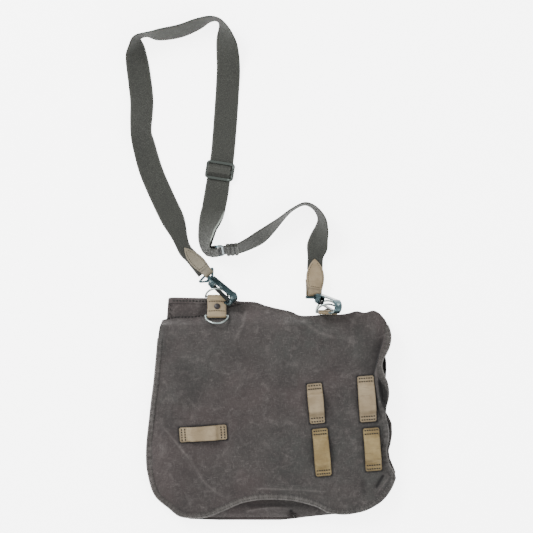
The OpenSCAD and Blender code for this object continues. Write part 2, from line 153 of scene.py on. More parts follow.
def sheet_mesh(top, under):
    """Vertices and faces of a closed sheet between the grid top[row, column] and its under side.

    The under side is another grid, or how far it lies below the top.
    """
    rows, cols = top.shape[:2]
    if np.isscalar(under):
        normal = unit(np.cross(np.gradient(top, axis=1), np.gradient(top, axis=0)))
        under = top - normal * math.copysign(under, normal[..., 2].mean())
    verts = np.concatenate([top.reshape(-1, 3), under.reshape(-1, 3)])
    n = rows * cols
    flip = np.cross(top[0, 1] - top[0, 0], top[1, 0] - top[0, 0]) @ (top[0, 0] - under[0, 0]) < 0
    faces = []
    for j in range(rows - 1):
        for i in range(cols - 1):
            a = j * cols + i
            d = a + cols
            faces.append((a, a + 1, d + 1, d))
            faces.append((n + a, n + d, n + d + 1, n + a + 1))
    rim = ([(0, i) for i in range(cols)] + [(j, cols - 1) for j in range(1, rows)]
           + [(rows - 1, i) for i in range(cols - 2, -1, -1)] + [(j, 0) for j in range(rows - 2, 0, -1)])
    rim = [j * cols + i for j, i in rim]
    for a, b in zip(rim, rim[1:] + rim[:1]):
        faces.append((b, a, n + a, n + b))
    if flip:
        faces = [f[::-1] for f in faces]
    return verts, faces


def sheet_piece(name, top, under, material, body=None, **marks):
    """A closed sheet as one piece; a mark is a grid for both of its sides, or a grid for each."""
    verts, faces = sheet_mesh(top, under)
    for key, grid in marks.items():
        sides = grid if isinstance(grid, tuple) else (grid, grid)
        marks[key] = np.concatenate([side.ravel() for side in sides])
    return make_object(name, verts, faces, material, body, marks)


def lowered(grid, by):
    """The grid moved straight down."""
    return grid - np.array([0, 0, by])


def tube_faces(rings, around, base=0):
    """Faces of a tube with closed ends, whose rings have so many vertices each."""
    first = [base + a for a in range(around)]
    faces = [tuple(first[::-1]), tuple((rings - 1) * around + a for a in first)]
    for near in range(base, base + (rings - 1) * around, around):
        far = near + around
        for a in range(around):
            b = (a + 1) % around
            faces.append((near + a, near + b, far + b, far + a))
    return faces


def strip_mesh(name, frames, section, half_width, rise, material, body, marks):
    """A closed strip along its frames; section runs across its upper side and back under it, -1 to 1."""
    middle, across, up = (p[:, None] for p in frames)
    verts = middle + across * (section * half_width[:, None])[..., None] + up * rise[..., None]
    faces = tube_faces(len(verts), len(section))
    return make_object(name, verts.reshape(-1, 3), faces, material, body, marks)


def round_edges(obj, width):
    """Rounds the sharp edges of a piece, and applies it."""
    bevel = obj.modifiers.new("edges", "BEVEL")
    bevel.width = width * MM
    bevel.segments = 2
    bevel.limit_method = "ANGLE"
    bevel.angle_limit = math.radians(40)
    bpy.context.view_layer.update()
    graph = bpy.context.evaluated_depsgraph_get()
    mesh = bpy.data.meshes.new_from_object(obj.evaluated_get(graph))
    obj.modifiers.clear()
    obj.data = mesh
    mesh.polygons.foreach_set("use_smooth", [True] * len(mesh.polygons))


def mend_normals(obj):
    """Turns every face of a closed piece outwards."""
    mesh = bmesh.new()
    mesh.from_mesh(obj.data)
    bmesh.ops.recalc_face_normals(mesh, faces=mesh.faces)
    mesh.to_mesh(obj.data)
    mesh.free()


class Thread:
    """Collects the stitches of one piece into one mesh."""

    steps = 5       # rings of vertices in a stitch
    around = 6      # vertices in a ring
    reach = 0.8     # how far to both sides the direction of a seam is measured, mm

    def __init__(self):
        self.verts = []
        self.faces = []

    def stitch(self, at, along, up, length, width, height):
        """One stitch: a short bead that dives into the cloth at both ends."""
        along = unit(along)
        side = unit(np.cross(up, along))
        up = np.cross(along, side)
        base = len(self.verts)
        for t in np.linspace(-1, 1, self.steps):
            swell = math.sqrt(max(0.05, 1 - t * t))
            centre = at + along * t * length / 2 + up * height * (0.55 * swell - 0.3)
            for a in range(self.around):
                angle = 2 * math.pi * a / self.around
                self.verts.append(centre + side * math.cos(angle) * width / 2 * swell
                                  + up * math.sin(angle) * height / 2 * swell)
        self.faces += tube_faces(self.steps, self.around, base)

    def row(self, line, ups, pitch=3.4, length=2.5, width=0.75, height=0.7):
        """A row of stitches along a line of points, with the surface's normal at each."""
        line = np.asarray(line, float)
        ups = np.asarray(ups, float)
        if ups.ndim == 1:
            ups = np.tile(ups, (len(line), 1))
        run = distances(line)
        count = max(2, int(run[-1] / pitch))

        def along(s, values):
            return np.array([np.interp(s, run, values[:, c]) for c in range(3)])

        for k in range(count):
            s = (k + 0.5) * run[-1] / count
            ahead = along(min(run[-1], s + self.reach), line) - along(max(0, s - self.reach), line)
            self.stitch(along(s, line), ahead, unit(along(s, ups)), length, width, height)

    def build(self, name, material, body):
        return make_object(name, self.verts, self.faces, material, body)


# ------------------------------------------------------------------ materials

class Nodes:
    """Short names for building a shader."""

    def __init__(self, name):
        self.mat = bpy.data.materials.new(name)
        self.mat.use_nodes = True
        self.tree = self.mat.node_tree
        self.bsdf = self.tree.nodes["Principled BSDF"]
        self.place = self.add("ShaderNodeTexCoord").outputs["Object"]

    def add(self, kind, **values):
        node = self.tree.nodes.new(kind)
        for key, value in values.items():
            setattr(node, key, value)
        return node

    def link(self, a, b):
        self.tree.links.new(a, b)

    def put(self, socket, value):
        """Links another node's output to a socket, or sets its number or colour."""
        if hasattr(value, "is_output"):
            self.link(value, socket)
        else:
            socket.default_value = (*value, 1.0) if isinstance(value, tuple) else value

    def texture(self, kind, stretch, turn, inputs, **values):
        mapping = self.add("ShaderNodeMapping")
        mapping.inputs["Scale"].default_value = stretch
        mapping.inputs["Rotation"].default_value = turn
        self.link(self.place, mapping.inputs["Vector"])
        node = self.add(kind, **values)
        for key, value in inputs.items():
            node.inputs[key].default_value = value
        self.link(mapping.outputs["Vector"], node.inputs["Vector"])
        return node.outputs["Fac"]

    def noise(self, scale, detail=3.0, rough=0.55, stretch=(1, 1, 1), turn=(0, 0, 0), distort=0.0):
        inputs = {"Scale": scale, "Detail": detail, "Roughness": rough, "Distortion": distort}
        return self.texture("ShaderNodeTexNoise", stretch, turn, inputs)

    def wave(self, scale, direction, distort=0.0):
        inputs = {"Scale": scale, "Distortion": distort}
        return self.texture("ShaderNodeTexWave", (1, 1, 1), (0, 0, 0), inputs, bands_direction=direction)

    def mark(self, name):
        return self.add("ShaderNodeAttribute", attribute_name=name).outputs["Fac"]

    def math(self, op, a, b=0.0, clamp=False):
        node = self.add("ShaderNodeMath", operation=op, use_clamp=clamp)
        self.put(node.inputs[0], a)
        self.put(node.inputs[1], b)
        return node.outputs[0]

    def ramp(self, value, low, high, to_low=0.0, to_high=1.0):
        node = self.add("ShaderNodeMapRange", clamp=True)
        self.put(node.inputs["Value"], value)
        for key, number in (("From Min", low), ("From Max", high), ("To Min", to_low), ("To Max", to_high)):
            node.inputs[key].default_value = number
        return node.outputs["Result"]

    def mix(self, factor, a, b):
        node = self.add("ShaderNodeMix", data_type="RGBA", blend_type="MIX")
        self.put(node.inputs["Factor"], factor)
        self.put(node.inputs[6], a)
        self.put(node.inputs[7], b)
        return node.outputs[2]

    def mix_marked(self, color, name, strength, other):
        """The colour, going over to another one where a mark is set."""
        return self.mix(self.math("MULTIPLY", self.mark(name), strength, True), color, other)

    def bump(self, height, strength, distance, base=None):
        node = self.add("ShaderNodeBump")
        node.inputs["Strength"].default_value = strength
        node.inputs["Distance"].default_value = distance
        self.link(height, node.inputs["Height"])
        if base is not None:
            self.link(base, node.inputs["Normal"])
        return node.outputs["Normal"]

    def finish(self, color, rough, normal=None, metallic=0.0, sheen=0.0):
        self.put(self.bsdf.inputs["Base Color"], color)
        self.put(self.bsdf.inputs["Roughness"], rough)
        self.bsdf.inputs["Metallic"].default_value = metallic
        self.bsdf.inputs["Sheen Weight"].default_value = sheen
        if sheen:
            self.bsdf.inputs["Sheen Roughness"].default_value = 0.5
        if normal is not None:
            self.link(normal, self.bsdf.inputs["Normal"])
        return self.mat


def scaled(color, share):
    """A colour made lighter or darker."""
    return tuple(c * share for c in color)


def canvas_material(name, base, cool, pale):
    """Faded cotton canvas: blotched dye, pale rubbed slubs, fine plain weave, soft creases."""
    n = Nodes(name)
    blotch = n.noise(9, 3, 0.6)
    cloud = n.noise(38, 4, 0.65)
    color = n.mix(n.ramp(blotch, 0.4, 0.62), base, cool)
    color = n.mix(n.ramp(cloud, 0.42, 0.66, 0.0, 0.75), color, scaled(base, 0.55))
    faded = n.ramp(n.noise(75, 5, 0.75, distort=0.6), 0.52, 0.74, 0.0, 0.32)
    color = n.mix(faded, color, pale)
    slubs = n.math("MAXIMUM", n.noise(900, 2, 0.7, (1, 0.22, 1)), n.noise(900, 2, 0.7, (0.22, 1, 1)))
    flecks = n.ramp(slubs, 0.56, 0.80, 0.0, 0.42)
    color = n.mix(flecks, color, pale)
    # The wear mark is rubbed wear, and on the curled hem of the flap's tape a painted highlight.
    rubbed = n.math("MULTIPLY", n.mark("wear"), n.ramp(n.noise(170, 5, 0.7), 0.34, 0.66, 0.25, 1.0))
    color = n.mix(n.math("MULTIPLY", rubbed, 0.75, True), color, pale)
    # The dark mark is painted shade and shadow in hollows, grooves and under parts, with some random dark
    # blotches.
    color = n.mix_marked(color, "dark", 1.0, scaled(base, 0.04))
    weave = n.math("MULTIPLY", n.wave(420, "X", 0.6), n.wave(420, "Y", 0.6))
    normal = n.bump(weave, 0.35, 0.0004)
    normal = n.bump(n.noise(120, 5, 0.65), 0.6, 0.0022, normal)
    normal = n.bump(n.noise(32, 3, 0.6), 0.5, 0.004, normal)
    return n.finish(color, 0.93, normal, sheen=0.03)


WORN_SELVEDGE = (0.24, 0.27, 0.24)
RUST = (0.16, 0.06, 0.03)


def webbing_material(name, base, pale):
    """Heavy woven tape: a chevron of ribs along its length and worn selvedges."""
    n = Nodes(name)
    color = n.mix(n.ramp(n.noise(30, 3, 0.6), 0.35, 0.7), base, scaled(base, 0.8))
    grain = n.noise(1100, 2, 0.7)
    color = n.mix(n.ramp(grain, 0.46, 0.72, 0.0, 0.6), color, pale)
    color = n.mix_marked(color, "wear", 0.7, pale)
    color = n.mix_marked(color, "edge", 1.0, WORN_SELVEDGE)
    # The dark mark is painted shade: in the keeper's grooves and on the short strap beside the ring.
    color = n.mix_marked(color, "dark", 0.9, scaled(base, 0.12))
    rib = n.wave(360, "DIAGONAL", 1.2)
    normal = n.bump(rib, 0.5, 0.0005)
    normal = n.bump(n.noise(700, 3, 0.7), 0.5, 0.0006, normal)
    return n.finish(color, 0.9, normal, sheen=0.03)


def leather_material(name, base, dark, pale, seed):
    """Dry vegetable-tanned leather: cloudy, cracked across, dirty towards its cut edges."""
    n = Nodes(name)
    cloud = n.noise(55 + seed, 4, 0.6)
    color = n.mix(n.ramp(cloud, 0.38, 0.68), base, pale)
    streak = n.noise(70, 4, 0.7, (0.6, 3.2, 1), (0, 0, 0.2 + seed))
    color = n.mix(n.ramp(streak, 0.56, 0.76, 0.0, 0.6), color, dark)
    pores = n.noise(1300, 2, 0.6)
    color = n.mix(n.ramp(pores, 0.6, 0.8, 0.0, 0.3), color, dark)
    color = n.mix_marked(color, "dark", 1.0, scaled(dark, 0.12))
    normal = n.bump(pores, 0.25, 0.0003)
    normal = n.bump(n.noise(260, 5, 0.7, (0.7, 2.2, 1)), 0.45, 0.0009, normal)
    return n.finish(color, n.ramp(cloud, 0.3, 0.7, 0.55, 0.78), normal)


def metal_material(name, base, rough, worn=None, wear=0.0, rust=0.0, metallic=1.0):
    """Plated or painted metal with rounded edges, scratches and bright or rusty wear."""
    n = Nodes(name)
    bevel = n.add("ShaderNodeBevel", samples=4)
    bevel.inputs["Radius"].default_value = 0.0005
    smear = n.noise(220, 4, 0.7)
    color = n.mix(n.ramp(smear, 0.4, 0.75, 0.0, 0.5), base, scaled(base, 0.6))
    if worn:
        color = n.mix(n.ramp(n.noise(130, 5, 0.7), 0.58, 0.68, 0.0, wear), color, worn)
    if rust:
        color = n.mix(n.ramp(n.noise(330, 5, 0.8), 0.6, 0.7, 0.0, rust), color, RUST)
    normal = n.bump(n.noise(500, 3, 0.6), 0.03, 0.0002, bevel.outputs["Normal"])
    return n.finish(color, n.ramp(smear, 0.3, 0.75, rough, rough + 0.2), normal, metallic=metallic)


def thread_material(name, base):
    """Waxed thread, lighter along its twist."""
    n = Nodes(name)
    color = n.mix(n.ramp(n.noise(500, 2), 0.35, 0.7), base, scaled(base, 1.6))
    return n.finish(color, 0.85, n.bump(n.wave(2600, "DIAGONAL"), 0.4, 0.0002))


CANVAS = canvas_material(
    "faded_canvas", base=(0.030, 0.0228, 0.0218), cool=(0.0235, 0.0232, 0.0212), pale=(0.118, 0.104, 0.099))
HEM = canvas_material(
    "hem_tape", base=(0.0285, 0.0235, 0.0215), cool=(0.0245, 0.0230, 0.0220), pale=(0.112, 0.104, 0.097))
WEBBING = webbing_material("grey_webbing", base=(0.0125, 0.0133, 0.0102), pale=(0.070, 0.073, 0.062))
PALE = leather_material(
    "pale_leather", base=(0.150, 0.110, 0.058), dark=(0.045, 0.025, 0.010),
    pale=(0.215, 0.168, 0.102), seed=0)
GREY_LEATHER = leather_material(
    "grey_leather", base=(0.092, 0.078, 0.050), dark=(0.030, 0.021, 0.011),
    pale=(0.135, 0.116, 0.080), seed=2)
OCHRE = leather_material(
    "ochre_leather", base=(0.125, 0.083, 0.024), dark=(0.035, 0.021, 0.006),
    pale=(0.200, 0.148, 0.062), seed=1)
NICKEL = metal_material("nickel_plate", (0.27, 0.31, 0.30), 0.22, rust=0.12)
BLUED = metal_material("blued_paint", (0.030, 0.052, 0.058), 0.22, (0.42, 0.52, 0.52), 0.7, metallic=0.85)
BLACKED = metal_material("gate_black", (0.004, 0.006, 0.006), 0.3, (0.22, 0.28, 0.27), 0.25, metallic=0.4)
SLIDER = metal_material("slider_paint", (0.030, 0.037, 0.032), 0.35, (0.22, 0.26, 0.24), 0.45, metallic=0.35)
RIVET = metal_material("brown_rivet", (0.007, 0.004, 0.0035), 0.45, (0.05, 0.020, 0.017), 0.35, metallic=0.2)
SPRING = metal_material("spring_steel", (0.5, 0.52, 0.5), 0.3)
THREAD = thread_material("dark_thread", (0.0035, 0.0028, 0.002))
HEM_THREAD = thread_material("hem_thread", (0.010, 0.009, 0.007))


# ------------------------------------------------------------------ camera, floor and light

VIEW_MID = (-0.0074, 0.1904)     # the middle of the view on the floor, in metres
VIEW_WIDE = 0.7196               # how much the view takes in, in metres
VIEW_LEVEL = 0.01                # the height at which it takes in that much, in metres
VIEW_FAR = 3.0                   # height of the camera above that level, in metres
SENSOR = 36.0                    # width of the camera's sensor, mm
FLOOR_HALF = 6.0                 # half the width of the floor, in metres
FLOOR_Z = -0.0004                # the floor is a little below the cloth, in metres
FLOOR_GLOW = 4.5                 # makes the floor white without a shadow
LIGHT_AIM = (0, 0.1, 0)


def make_camera():
    data = bpy.data.cameras.new("camera")
    data.sensor_width = SENSOR
    data.lens = SENSOR * VIEW_FAR / VIEW_WIDE
    data.clip_end = 20
    cam = put_in_scene(bpy.data.objects.new("camera", data))
    cam.location = (*VIEW_MID, VIEW_FAR + VIEW_LEVEL)
    bpy.context.scene.camera = cam


def make_floor():
    mesh = bpy.data.meshes.new("floor")
    corners = [(x * FLOOR_HALF, y * FLOOR_HALF, FLOOR_Z) for x, y in ((-1, -1), (1, -1), (1, 1), (-1, 1))]
    mesh.from_pydata(corners, [], [(0, 1, 2, 3)])
    floor = put_in_scene(bpy.data.objects.new("floor", mesh))
    n = Nodes("pale_floor")
    mesh.materials.append(n.finish((0.94, 0.94, 0.94), 0.9))
    n.bsdf.inputs["Emission Color"].default_value = (1, 1, 1, 1)
    n.bsdf.inputs["Emission Strength"].default_value = FLOOR_GLOW
    n.bsdf.inputs["Specular IOR Level"].default_value = 0.1


def make_light(name, size, energy, place):
    data = bpy.data.lights.new(name, "AREA")
    data.shape = "DISK"
    data.size = size
    data.energy = energy
    lamp = put_in_scene(bpy.data.objects.new(name, data))
    lamp.location = place
    lamp.rotation_euler = (Vector(LIGHT_AIM) - Vector(place)).to_track_quat("-Z", "Y").to_euler()


def make_lights():
    world = bpy.data.worlds.new("studio")
    world.use_nodes = True
    background = world.node_tree.nodes["Background"]
    background.inputs["Color"].default_value = (1, 1, 1, 1)
    background.inputs["Strength"].default_value = 1.5
    bpy.context.scene.world = world
    make_light("key", size=1.1, energy=90, place=(-1.5, 1.6, 1.5))
    make_light("fill", size=2.2, energy=26, place=(1.8, -0.8, 1.9))


make_camera()
make_floor()
make_lights()


# ------------------------------------------------------------------ webbing straps

def lie(roll, lift=0.0):
    """Height of a strap's middle when it rests on its lower edge, rolled by so many degrees."""
    turn = math.radians(roll)
    return lift + abs(math.sin(turn)) * WEB_W / 2 + abs(math.cos(turn)) * WEB_T / 2 + 0.3


def strap_route(rows):
    """Route of a strap's middle, x, y, z and roll, from rows of x, y, roll and sometimes a lift."""
    return [(x, y, lie(roll, *lift), roll) for x, y, roll, *lift in rows]


LONG_ROUTE = strap_route([
    (-91.6, 182.0, 0, 10.6), (-101, 193.8, 0, 6.8), (-109, 203.5, 0, 3.2), (-119, 215, 0),
    (-131, 247, 0), (-147, 281, 0), (-163, 318, 4), (-173, 353, 18), (-177, 374, 30),
    (-176, 411, 14), (-178, 434, 8), (-181, 457, 14), (-184, 480, 34), (-183, 497, 74),
    (-170, 503, 84), (-152, 503, 66), (-124, 508, 62), (-101, 517, 66), (-84, 524, 80),
    (-71, 522, 84), (-64, 508, 58), (-61, 490, 26), (-59, 462, 6), (-60, 434, 0), (-63, 388, 0),
    (-67, 341, 0), (-72, 310, 0), (-73.4, 301, 0, 1.9), (-75, 292, 0, 2.4), (-79, 268, 0, 2.6)])
# Where the webbing lies double, from below the slider to the ring, turning on edge on its way.
LAYER_SHIFT = 1.3        # from the middle of the two layers to each of them, mm
LAYER_SPREAD = 0.95      # how much further apart they are at the ring, mm
DOUBLE_ROUTE = strap_route([
    (-79, 268, 0, 1.3), (-83.5, 252, 26, 1.5), (-87, 240, 44, 1.5), (-88.6, 229, 52, 1.7),
    (-88.4, 219.5, 62, 2), (-86.2, 213, 67, 2.3), (-82.4, 210.5, 70, 2.5), (-78.2, 210.7, 70, 2.6),
    (-75.2, 211.0, 70, 2.7)])
RETURN_ROUTE = strap_route([
    (-73.4, 299, 0), (-75.5, 286, 0), (-79, 268, 0)])
SHORT_ROUTE = strap_route([
    (-72.8, 211.9, 70, 2.8), (-54, 213.4, 66, 2), (-45, 215, 63, 1), (-30.6, 221.4, 58),
    (-16, 230, 54), (-1.4, 242, 64), (12, 254, 76), (27, 267, 84), (44, 275, 84), (58, 269, 80),
    (67, 255, 70), (67, 240, 52), (63, 225, 30), (59, 205, 10), (58, 186, 4, 2)])
LONG_NARROW = 92         # how far from its start the long strap looks narrower, mm
SHORT_TAPER = 34         # the same from the short strap's far end, mm
SHORT_SHADE = 8.0        # the short strap is dark so far from the ring, mm


def route_frames(route, spacing=3.5):
    """Middle, across and up directions at even steps along a route."""
    rough = smooth_line(route, 400)
    length = distances(rough[:, :3])[-1]
    at = smooth_line(route, max(6, int(length / spacing)))
    run = unit(np.gradient(at[:, :3], axis=0))
    level = unit(np.cross([0, 0, 1], run))
    above = np.cross(run, level)
    roll = np.radians(at[:, 3:4])
    across = level * np.cos(roll) + above * np.sin(roll)
    return at[:, :3], across, np.cross(run, across)


def join_frames(*parts):
    """Frames of several stretches of a strap as one."""
    return tuple(np.concatenate([p[k] for p in parts]) for k in range(3))


def off_middle(frames, by):
    """The frames of a layer that lies so far above the middle line."""
    middle, across, up = frames
    return middle + up * by, across, up


def underside(frames):
    """The frames run the other way, with the other side up."""
    middle, across, up = (p[::-1] for p in frames)
    return middle, across, -up


def fold_frames(frames, ahead, radius):
    """The half turn that a strap makes round a bar at the end of its middle line."""
    middle, across, up = (p[-1] for p in frames)
    turn = np.linspace(0, math.pi, 9)[1:-1, None]
    out = up * np.cos(turn) + ahead * np.sin(turn)
    return middle + out * radius, np.tile(across, (len(turn), 1)), out


def strap_mesh(name, frames, width, seed, cup, narrow=0, taper=0, rubbed=(0, 0), shaded=0):
    """A woven strap along its frames: thicker selvedges, a slight cup and wavering edges."""
    run = distances(frames[0])
    step = np.arange(len(run))
    a = np.linspace(-1, 1, 13)
    half = WEB_T / 2 * np.where(np.abs(a) > 0.99, 0.35, np.where(np.abs(a) > 0.8, 1.0, 0.86))
    section = np.concatenate([a, a[::-1]])
    waver = np.array([1 + 0.012 * noise.noise(Vector((i * 0.21, seed, 0))) for i in step])
    waver *= 1 - 0.42 * fade((narrow - run) / 45)
    waver *= 1 - 0.30 * fade((taper - run[-1] + run) / 20)
    bow = np.array([cup * (0.6 + noise.noise(Vector((i * 0.06, seed, 4)))) for i in step])
    rise = np.concatenate([half, -half]) + bow[:, None] * (section ** 2 - 0.3)
    grain = np.array([[0.55 + noise.noise(Vector((i * 0.3, s, seed))) for s in section] for i in step])
    wear = np.clip(np.maximum(0, (np.abs(section) - 0.84) * 6) * grain, 0, 1)
    bare = (step >= rubbed[0]) & (step < rubbed[1])
    edge = 1.0 * bare[:, None] * (section > 0.9)
    dark = fade((shaded - run) / 2)[:, None] * np.ones(len(section))
    marks = {"wear": wear, "edge": edge, "dark": dark}
    return strip_mesh(name, frames, section, width / 2 * waver, rise, WEBBING, None, marks)


def build_long_strap():
    """The long strap, its fold round the ring's bar and the layer that comes back to the slider."""
    main = route_frames(LONG_ROUTE)
    double = route_frames(DOUBLE_ROUTE)
    count = len(double[0])
    apart = (LAYER_SHIFT + LAYER_SPREAD * np.linspace(0, 1, count) ** 6)[:, None]
    upper = tuple(p[1:] for p in off_middle(double, apart))
    fold = fold_frames(double, unit(double[0][-1] - double[0][-2]), apart[-1, 0])
    back = tuple(p[:-1] for p in route_frames(RETURN_ROUTE))
    home = underside(join_frames(back, off_middle(double, -apart)))
    frames = join_frames(main, upper, fold, home)
    doubled = (len(main[0]), len(main[0]) + count - 6)
    obj = strap_mesh("long_strap_webbing", frames, WEB_W, 1.0, 0.25, narrow=LONG_NARROW, rubbed=doubled)
    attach(obj, "bag")
    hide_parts("long_strap")


def build_short_strap():
    """The short strap, from its fold round the ring to the right leather end."""
    frames = route_frames(SHORT_ROUTE)
    width = WEB_W - 1.5
    obj = strap_mesh("short_strap_webbing", frames, width, 2.0, 0.3, taper=SHORT_TAPER, shaded=SHORT_SHADE)
    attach(obj, "bag")
    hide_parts("short_strap")


build_long_strap()
build_short_strap()


# ------------------------------------------------------------------ shape of the bag

BAG_HALF = 163.0        # half the width of the bag's bulge, mm
BAG_MID_Y = -14.0       # middle of the bulge
BAG_HALF_Y = 134.0      # half its length
RIM_H = 8.0             # height of the bag at its rim
BULGE = 12.0            # how much higher its middle is
LAYER_GAP = 3.0         # from the front panel to the leather under the flap
FLAP_OVER = 1.6         # from that leather to the flap
MOUTH_Y = 98.0          # upper edge of the front panel
LOW_Y = -152.6          # lower edge of the bag

# Free edge of the flap, from its upper left corner round to its upper right one: x, y.
FLAP_LEFT = [(-148.5, 118), (-152.6, 103), (-156, 68), (-159.3, 34), (-163, 6), (-166, -21), (-168.6, -45),
             (-169.4, -63), (-168.5, -82), (-164.7, -101)]
FLAP_BOTTOM = [(-164.7, -101), (-161, -111.5), (-155.3, -121), (-147, -128.5), (-139, -134.5), (-131, -141.5),
               (-123, -146.5), (-109, -149), (-97, -148.5), (-86, -146.5), (-65, -137.5), (-43, -127.6),
               (-28, -124), (-12, -122), (8, -122), (28, -123.5), (44, -127), (59, -131.6), (68, -136.5),
               (76, -140.8), (86, -142.6), (97.7, -143.3), (110.6, -141.7), (126.8, -137.4), (142.9, -128.8),
               (153.7, -119), (162.3, -106.1), (166.8, -95)]
FLAP_RIGHT = [(152.5, 119), (158.6, 105.4), (160.2, 94), (157.8, 82.6), (153.1, 72.2), (149.3, 65.6),
              (147.4, 58), (148.8, 50.5), (151.7, 42), (155, 34.4), (156.9, 22), (156.2, 12.6), (153, 0),
              (152.8, -11), (155.3, -21), (156.9, -32.9), (156.3, -43.7), (154.2, -54.5), (154.9, -65.2),
              (159, -78), (164.2, -86), (166.8, -95)]
FLAP_TOP = [(-148.5, 118), (-138, 120.5), (-104, 123), (-74, 130), (-50, 137), (-28, 141), (-12, 138.5),
            (4, 134.5), (25, 129.8), (38, 124.5), (54, 124.4), (66, 125.6), (84, 125.8), (94, 126.2),
            (103, 127.6), (114, 130.4), (124.7, 128.4), (136, 131.2), (144.6, 127.6), (152.5, 119)]
SEAM_X = [p[0] for p in FLAP_TOP]
SEAM_Y = [p[1] for p in FLAP_TOP]

# Left and right sides of the body of the bag: y, x.
BODY_LEFT = [(-153, -40), (-151, -112), (-146, -126), (-134, -141), (-120, -155), (-100, -163), (-62, -167),
             (-20, -164), (35, -157), (118, -147)]
BODY_RIGHT = [(-153, 4), (-150.5, 30), (-146.5, 60), (-141, 112), (-126, 146), (-105, 162), (-87, 168),
              (-78, 164.4), (-68, 160.2), (-58, 158.6), (-48, 161.4), (-36, 163.3), (-21, 162.8),
              (-14, 159.6), (-4, 154), (6, 154), (24, 154), (40, 155), (52, 155.8), (64, 155.4),
              (76, 153), (118, 150)]


def swell(x, y):
    """1 in the middle of the bag, falling to 0 at its rim."""
    u = np.minimum(1, np.abs(x) / BAG_HALF)
    v = np.minimum(1, np.abs(y - BAG_MID_Y) / BAG_HALF_Y)
    return np.sqrt(1 - u ** 5) * np.sqrt(1 - v ** 5)


def front_base(x, y):
    """Height of the front panel without its wrinkles."""
    return RIM_H + BULGE * swell(x, y)


def at_y(table, y):
    """Value of a table of (y, value) at each y."""
    rows = sorted(table)
    return np.interp(y, [r[0] for r in rows], [r[1] for r in rows])


# Folds and creases of the flap: line, height in mm, half width in mm.
FLAP_FOLDS = [
    ([(-152, -18), (-131, -44), (-109, -71), (-89, -101), (-67, -118), (-50, -125)], 1.5, 5.5),
    ([(-60, 128), (-70, 100), (-66, 76)], -1.2, 6),
    ([(-34, 137), (-40, 112), (-52, 88)], 1.3, 7),
    ([(-20, 136), (-6, 118), (16, 100)], -1.1, 7),
    ([(36, 122), (60, 104), (90, 92)], 1.4, 8),
    ([(20, 60), (50, 36), (92, 20)], 0.9, 9),
    ([(-20, 40), (-8, -10), (-30, -60)], 0.8, 12),
    ([(-36, -108), (0, -108.5), (40, -110), (78, -113)], 1.6, 4),
    ([(-40, -118), (10, -116), (60, -122)], -1.2, 3.5),
    ([(98, 100), (118, 60), (128, 48)], 1.0, 9),
    ([(120, -96), (124, -116), (126, -128)], -1.3, 5),
    ([(96, -50), (104, -80), (100, -112)], 1.0, 8),
    ([(-120, 96), (-96, 70), (-84, 36)], 0.9, 8),
    ([(-140, 60), (-120, 30), (-128, -4)], 0.7, 9),
    ([(-60, -60), (-20, -84), (30, -88)], 0.8, 9),
    ([(152, -88), (143, -101), (136, -112)], -2.4, 3),
    ([(160, -90), (150, -103), (140, -116)], 1.6, 4)]
# The turned-up right edge: its inner fold line, the hollow on its left and the hollow on its right.
TURNED = [(153.5, 106), (150, 92), (146.5, 80), (142.7, 65), (139.2, 52.3), (137.4, 44.8), (138, 30),
          (140, 12.6), (143.4, -2.6), (148.6, -14), (153, -24)]
TURNED_SIDE = [(148, 90), (140, 76), (134, 64), (130, 54)]
TURNED_GAP = [(142.5, 39), (146.5, 28), (149.5, 14), (151.5, 2)]
# The wedge of painted shadow inside it, left and right sides as y, x, and the rubbed rims outside and inside
# it.
WEDGE_LEFT = [(-4, 152.5), (8, 147.2), (22, 144.2), (32, 143.2), (42, 142.6)]
WEDGE_RIGHT = [(-4, 153.5), (8, 154.5), (20, 154.6), (28, 151.5), (34, 146.5), (42, 142.8)]
OUTER_RIM = [(152.6, 72), (149.3, 65.6), (147.4, 58), (148.8, 50.5), (151.7, 42), (154.6, 34.4)]
INNER_RIM = [(146, 79), (142.9, 65), (139.9, 52.3), (138.3, 44.8), (139.6, 30), (142, 14)]


def turned_line(y):
    """Where the turned-up edge begins, in x."""
    return at_y([(p[1], p[0]) for p in TURNED], y)


def turned_marks(x, y):
    """Painted shade in the hollow beside the turned-up edge and painted shadow in the fold within it, and
    wear on its rims.
    """
    line = turned_line(y)
    # hollow is painted shade beside the fold line; wedge is painted shadow deep in the fold.
    hollow = np.exp(-np.clip(line - x, 0, None) / 10) * fade((line + 0.6 - x) / 1.4)
    hollow = hollow * fade((106 - y) / 24) * fade((y - 38) / 12)
    from_left = fade((x - at_y(WEDGE_LEFT, y) + 0.7) / 1.4)
    from_right = fade((at_y(WEDGE_RIGHT, y) - x + 0.7) / 1.4)
    wedge = from_left * from_right * fade((y + 5) / 4) * fade((43 - y) / 3)
    rim = 0.9 * stroke(x, y, OUTER_RIM, 1.0) + 0.45 * stroke(x, y, INNER_RIM, 1.1)
    return hollow + 2.0 * wedge, rim


def turned_edge(x, y):
    """Extra height of the flap along its turned-up right edge."""
    line = turned_line(y)
    strength = fade((106 - y) / 26) * fade((y + 24) / 20)
    step = fade((x - line + 1.4) / 2.8)
    lift = 5.6 * step * strength
    hollow = -2.1 * stroke(x, y, TURNED_SIDE, 9, False) * (1 - step)
    gap = -5.2 * stroke(x, y, TURNED_GAP, 3.2) * step
    outer = 3.2 * fade((x - 150) / 5) * np.exp(-((y + 34) / 30) ** 2)
    return lift + hollow + gap + outer


def flap_folds(x, y):
    """Height that folds, creases and the curled lower edge add to the flap."""
    out = 1.3 * cloth_noise(x, y, 64, 3) + 0.75 * cloth_noise(x, y, 26, 9) + 0.25 * cloth_noise(x, y, 9, 5)
    for line, height, width in FLAP_FOLDS:
        out = out + height * stroke(x, y, line, width)
    curl, _ = near_line(x, y, smooth_line(FLAP_BOTTOM[9:20], 40))
    out = out + 4.6 * np.exp(-(curl / 9) ** 2) * fade((x + 96) / 40) * fade((84 - x) / 26)
    return out


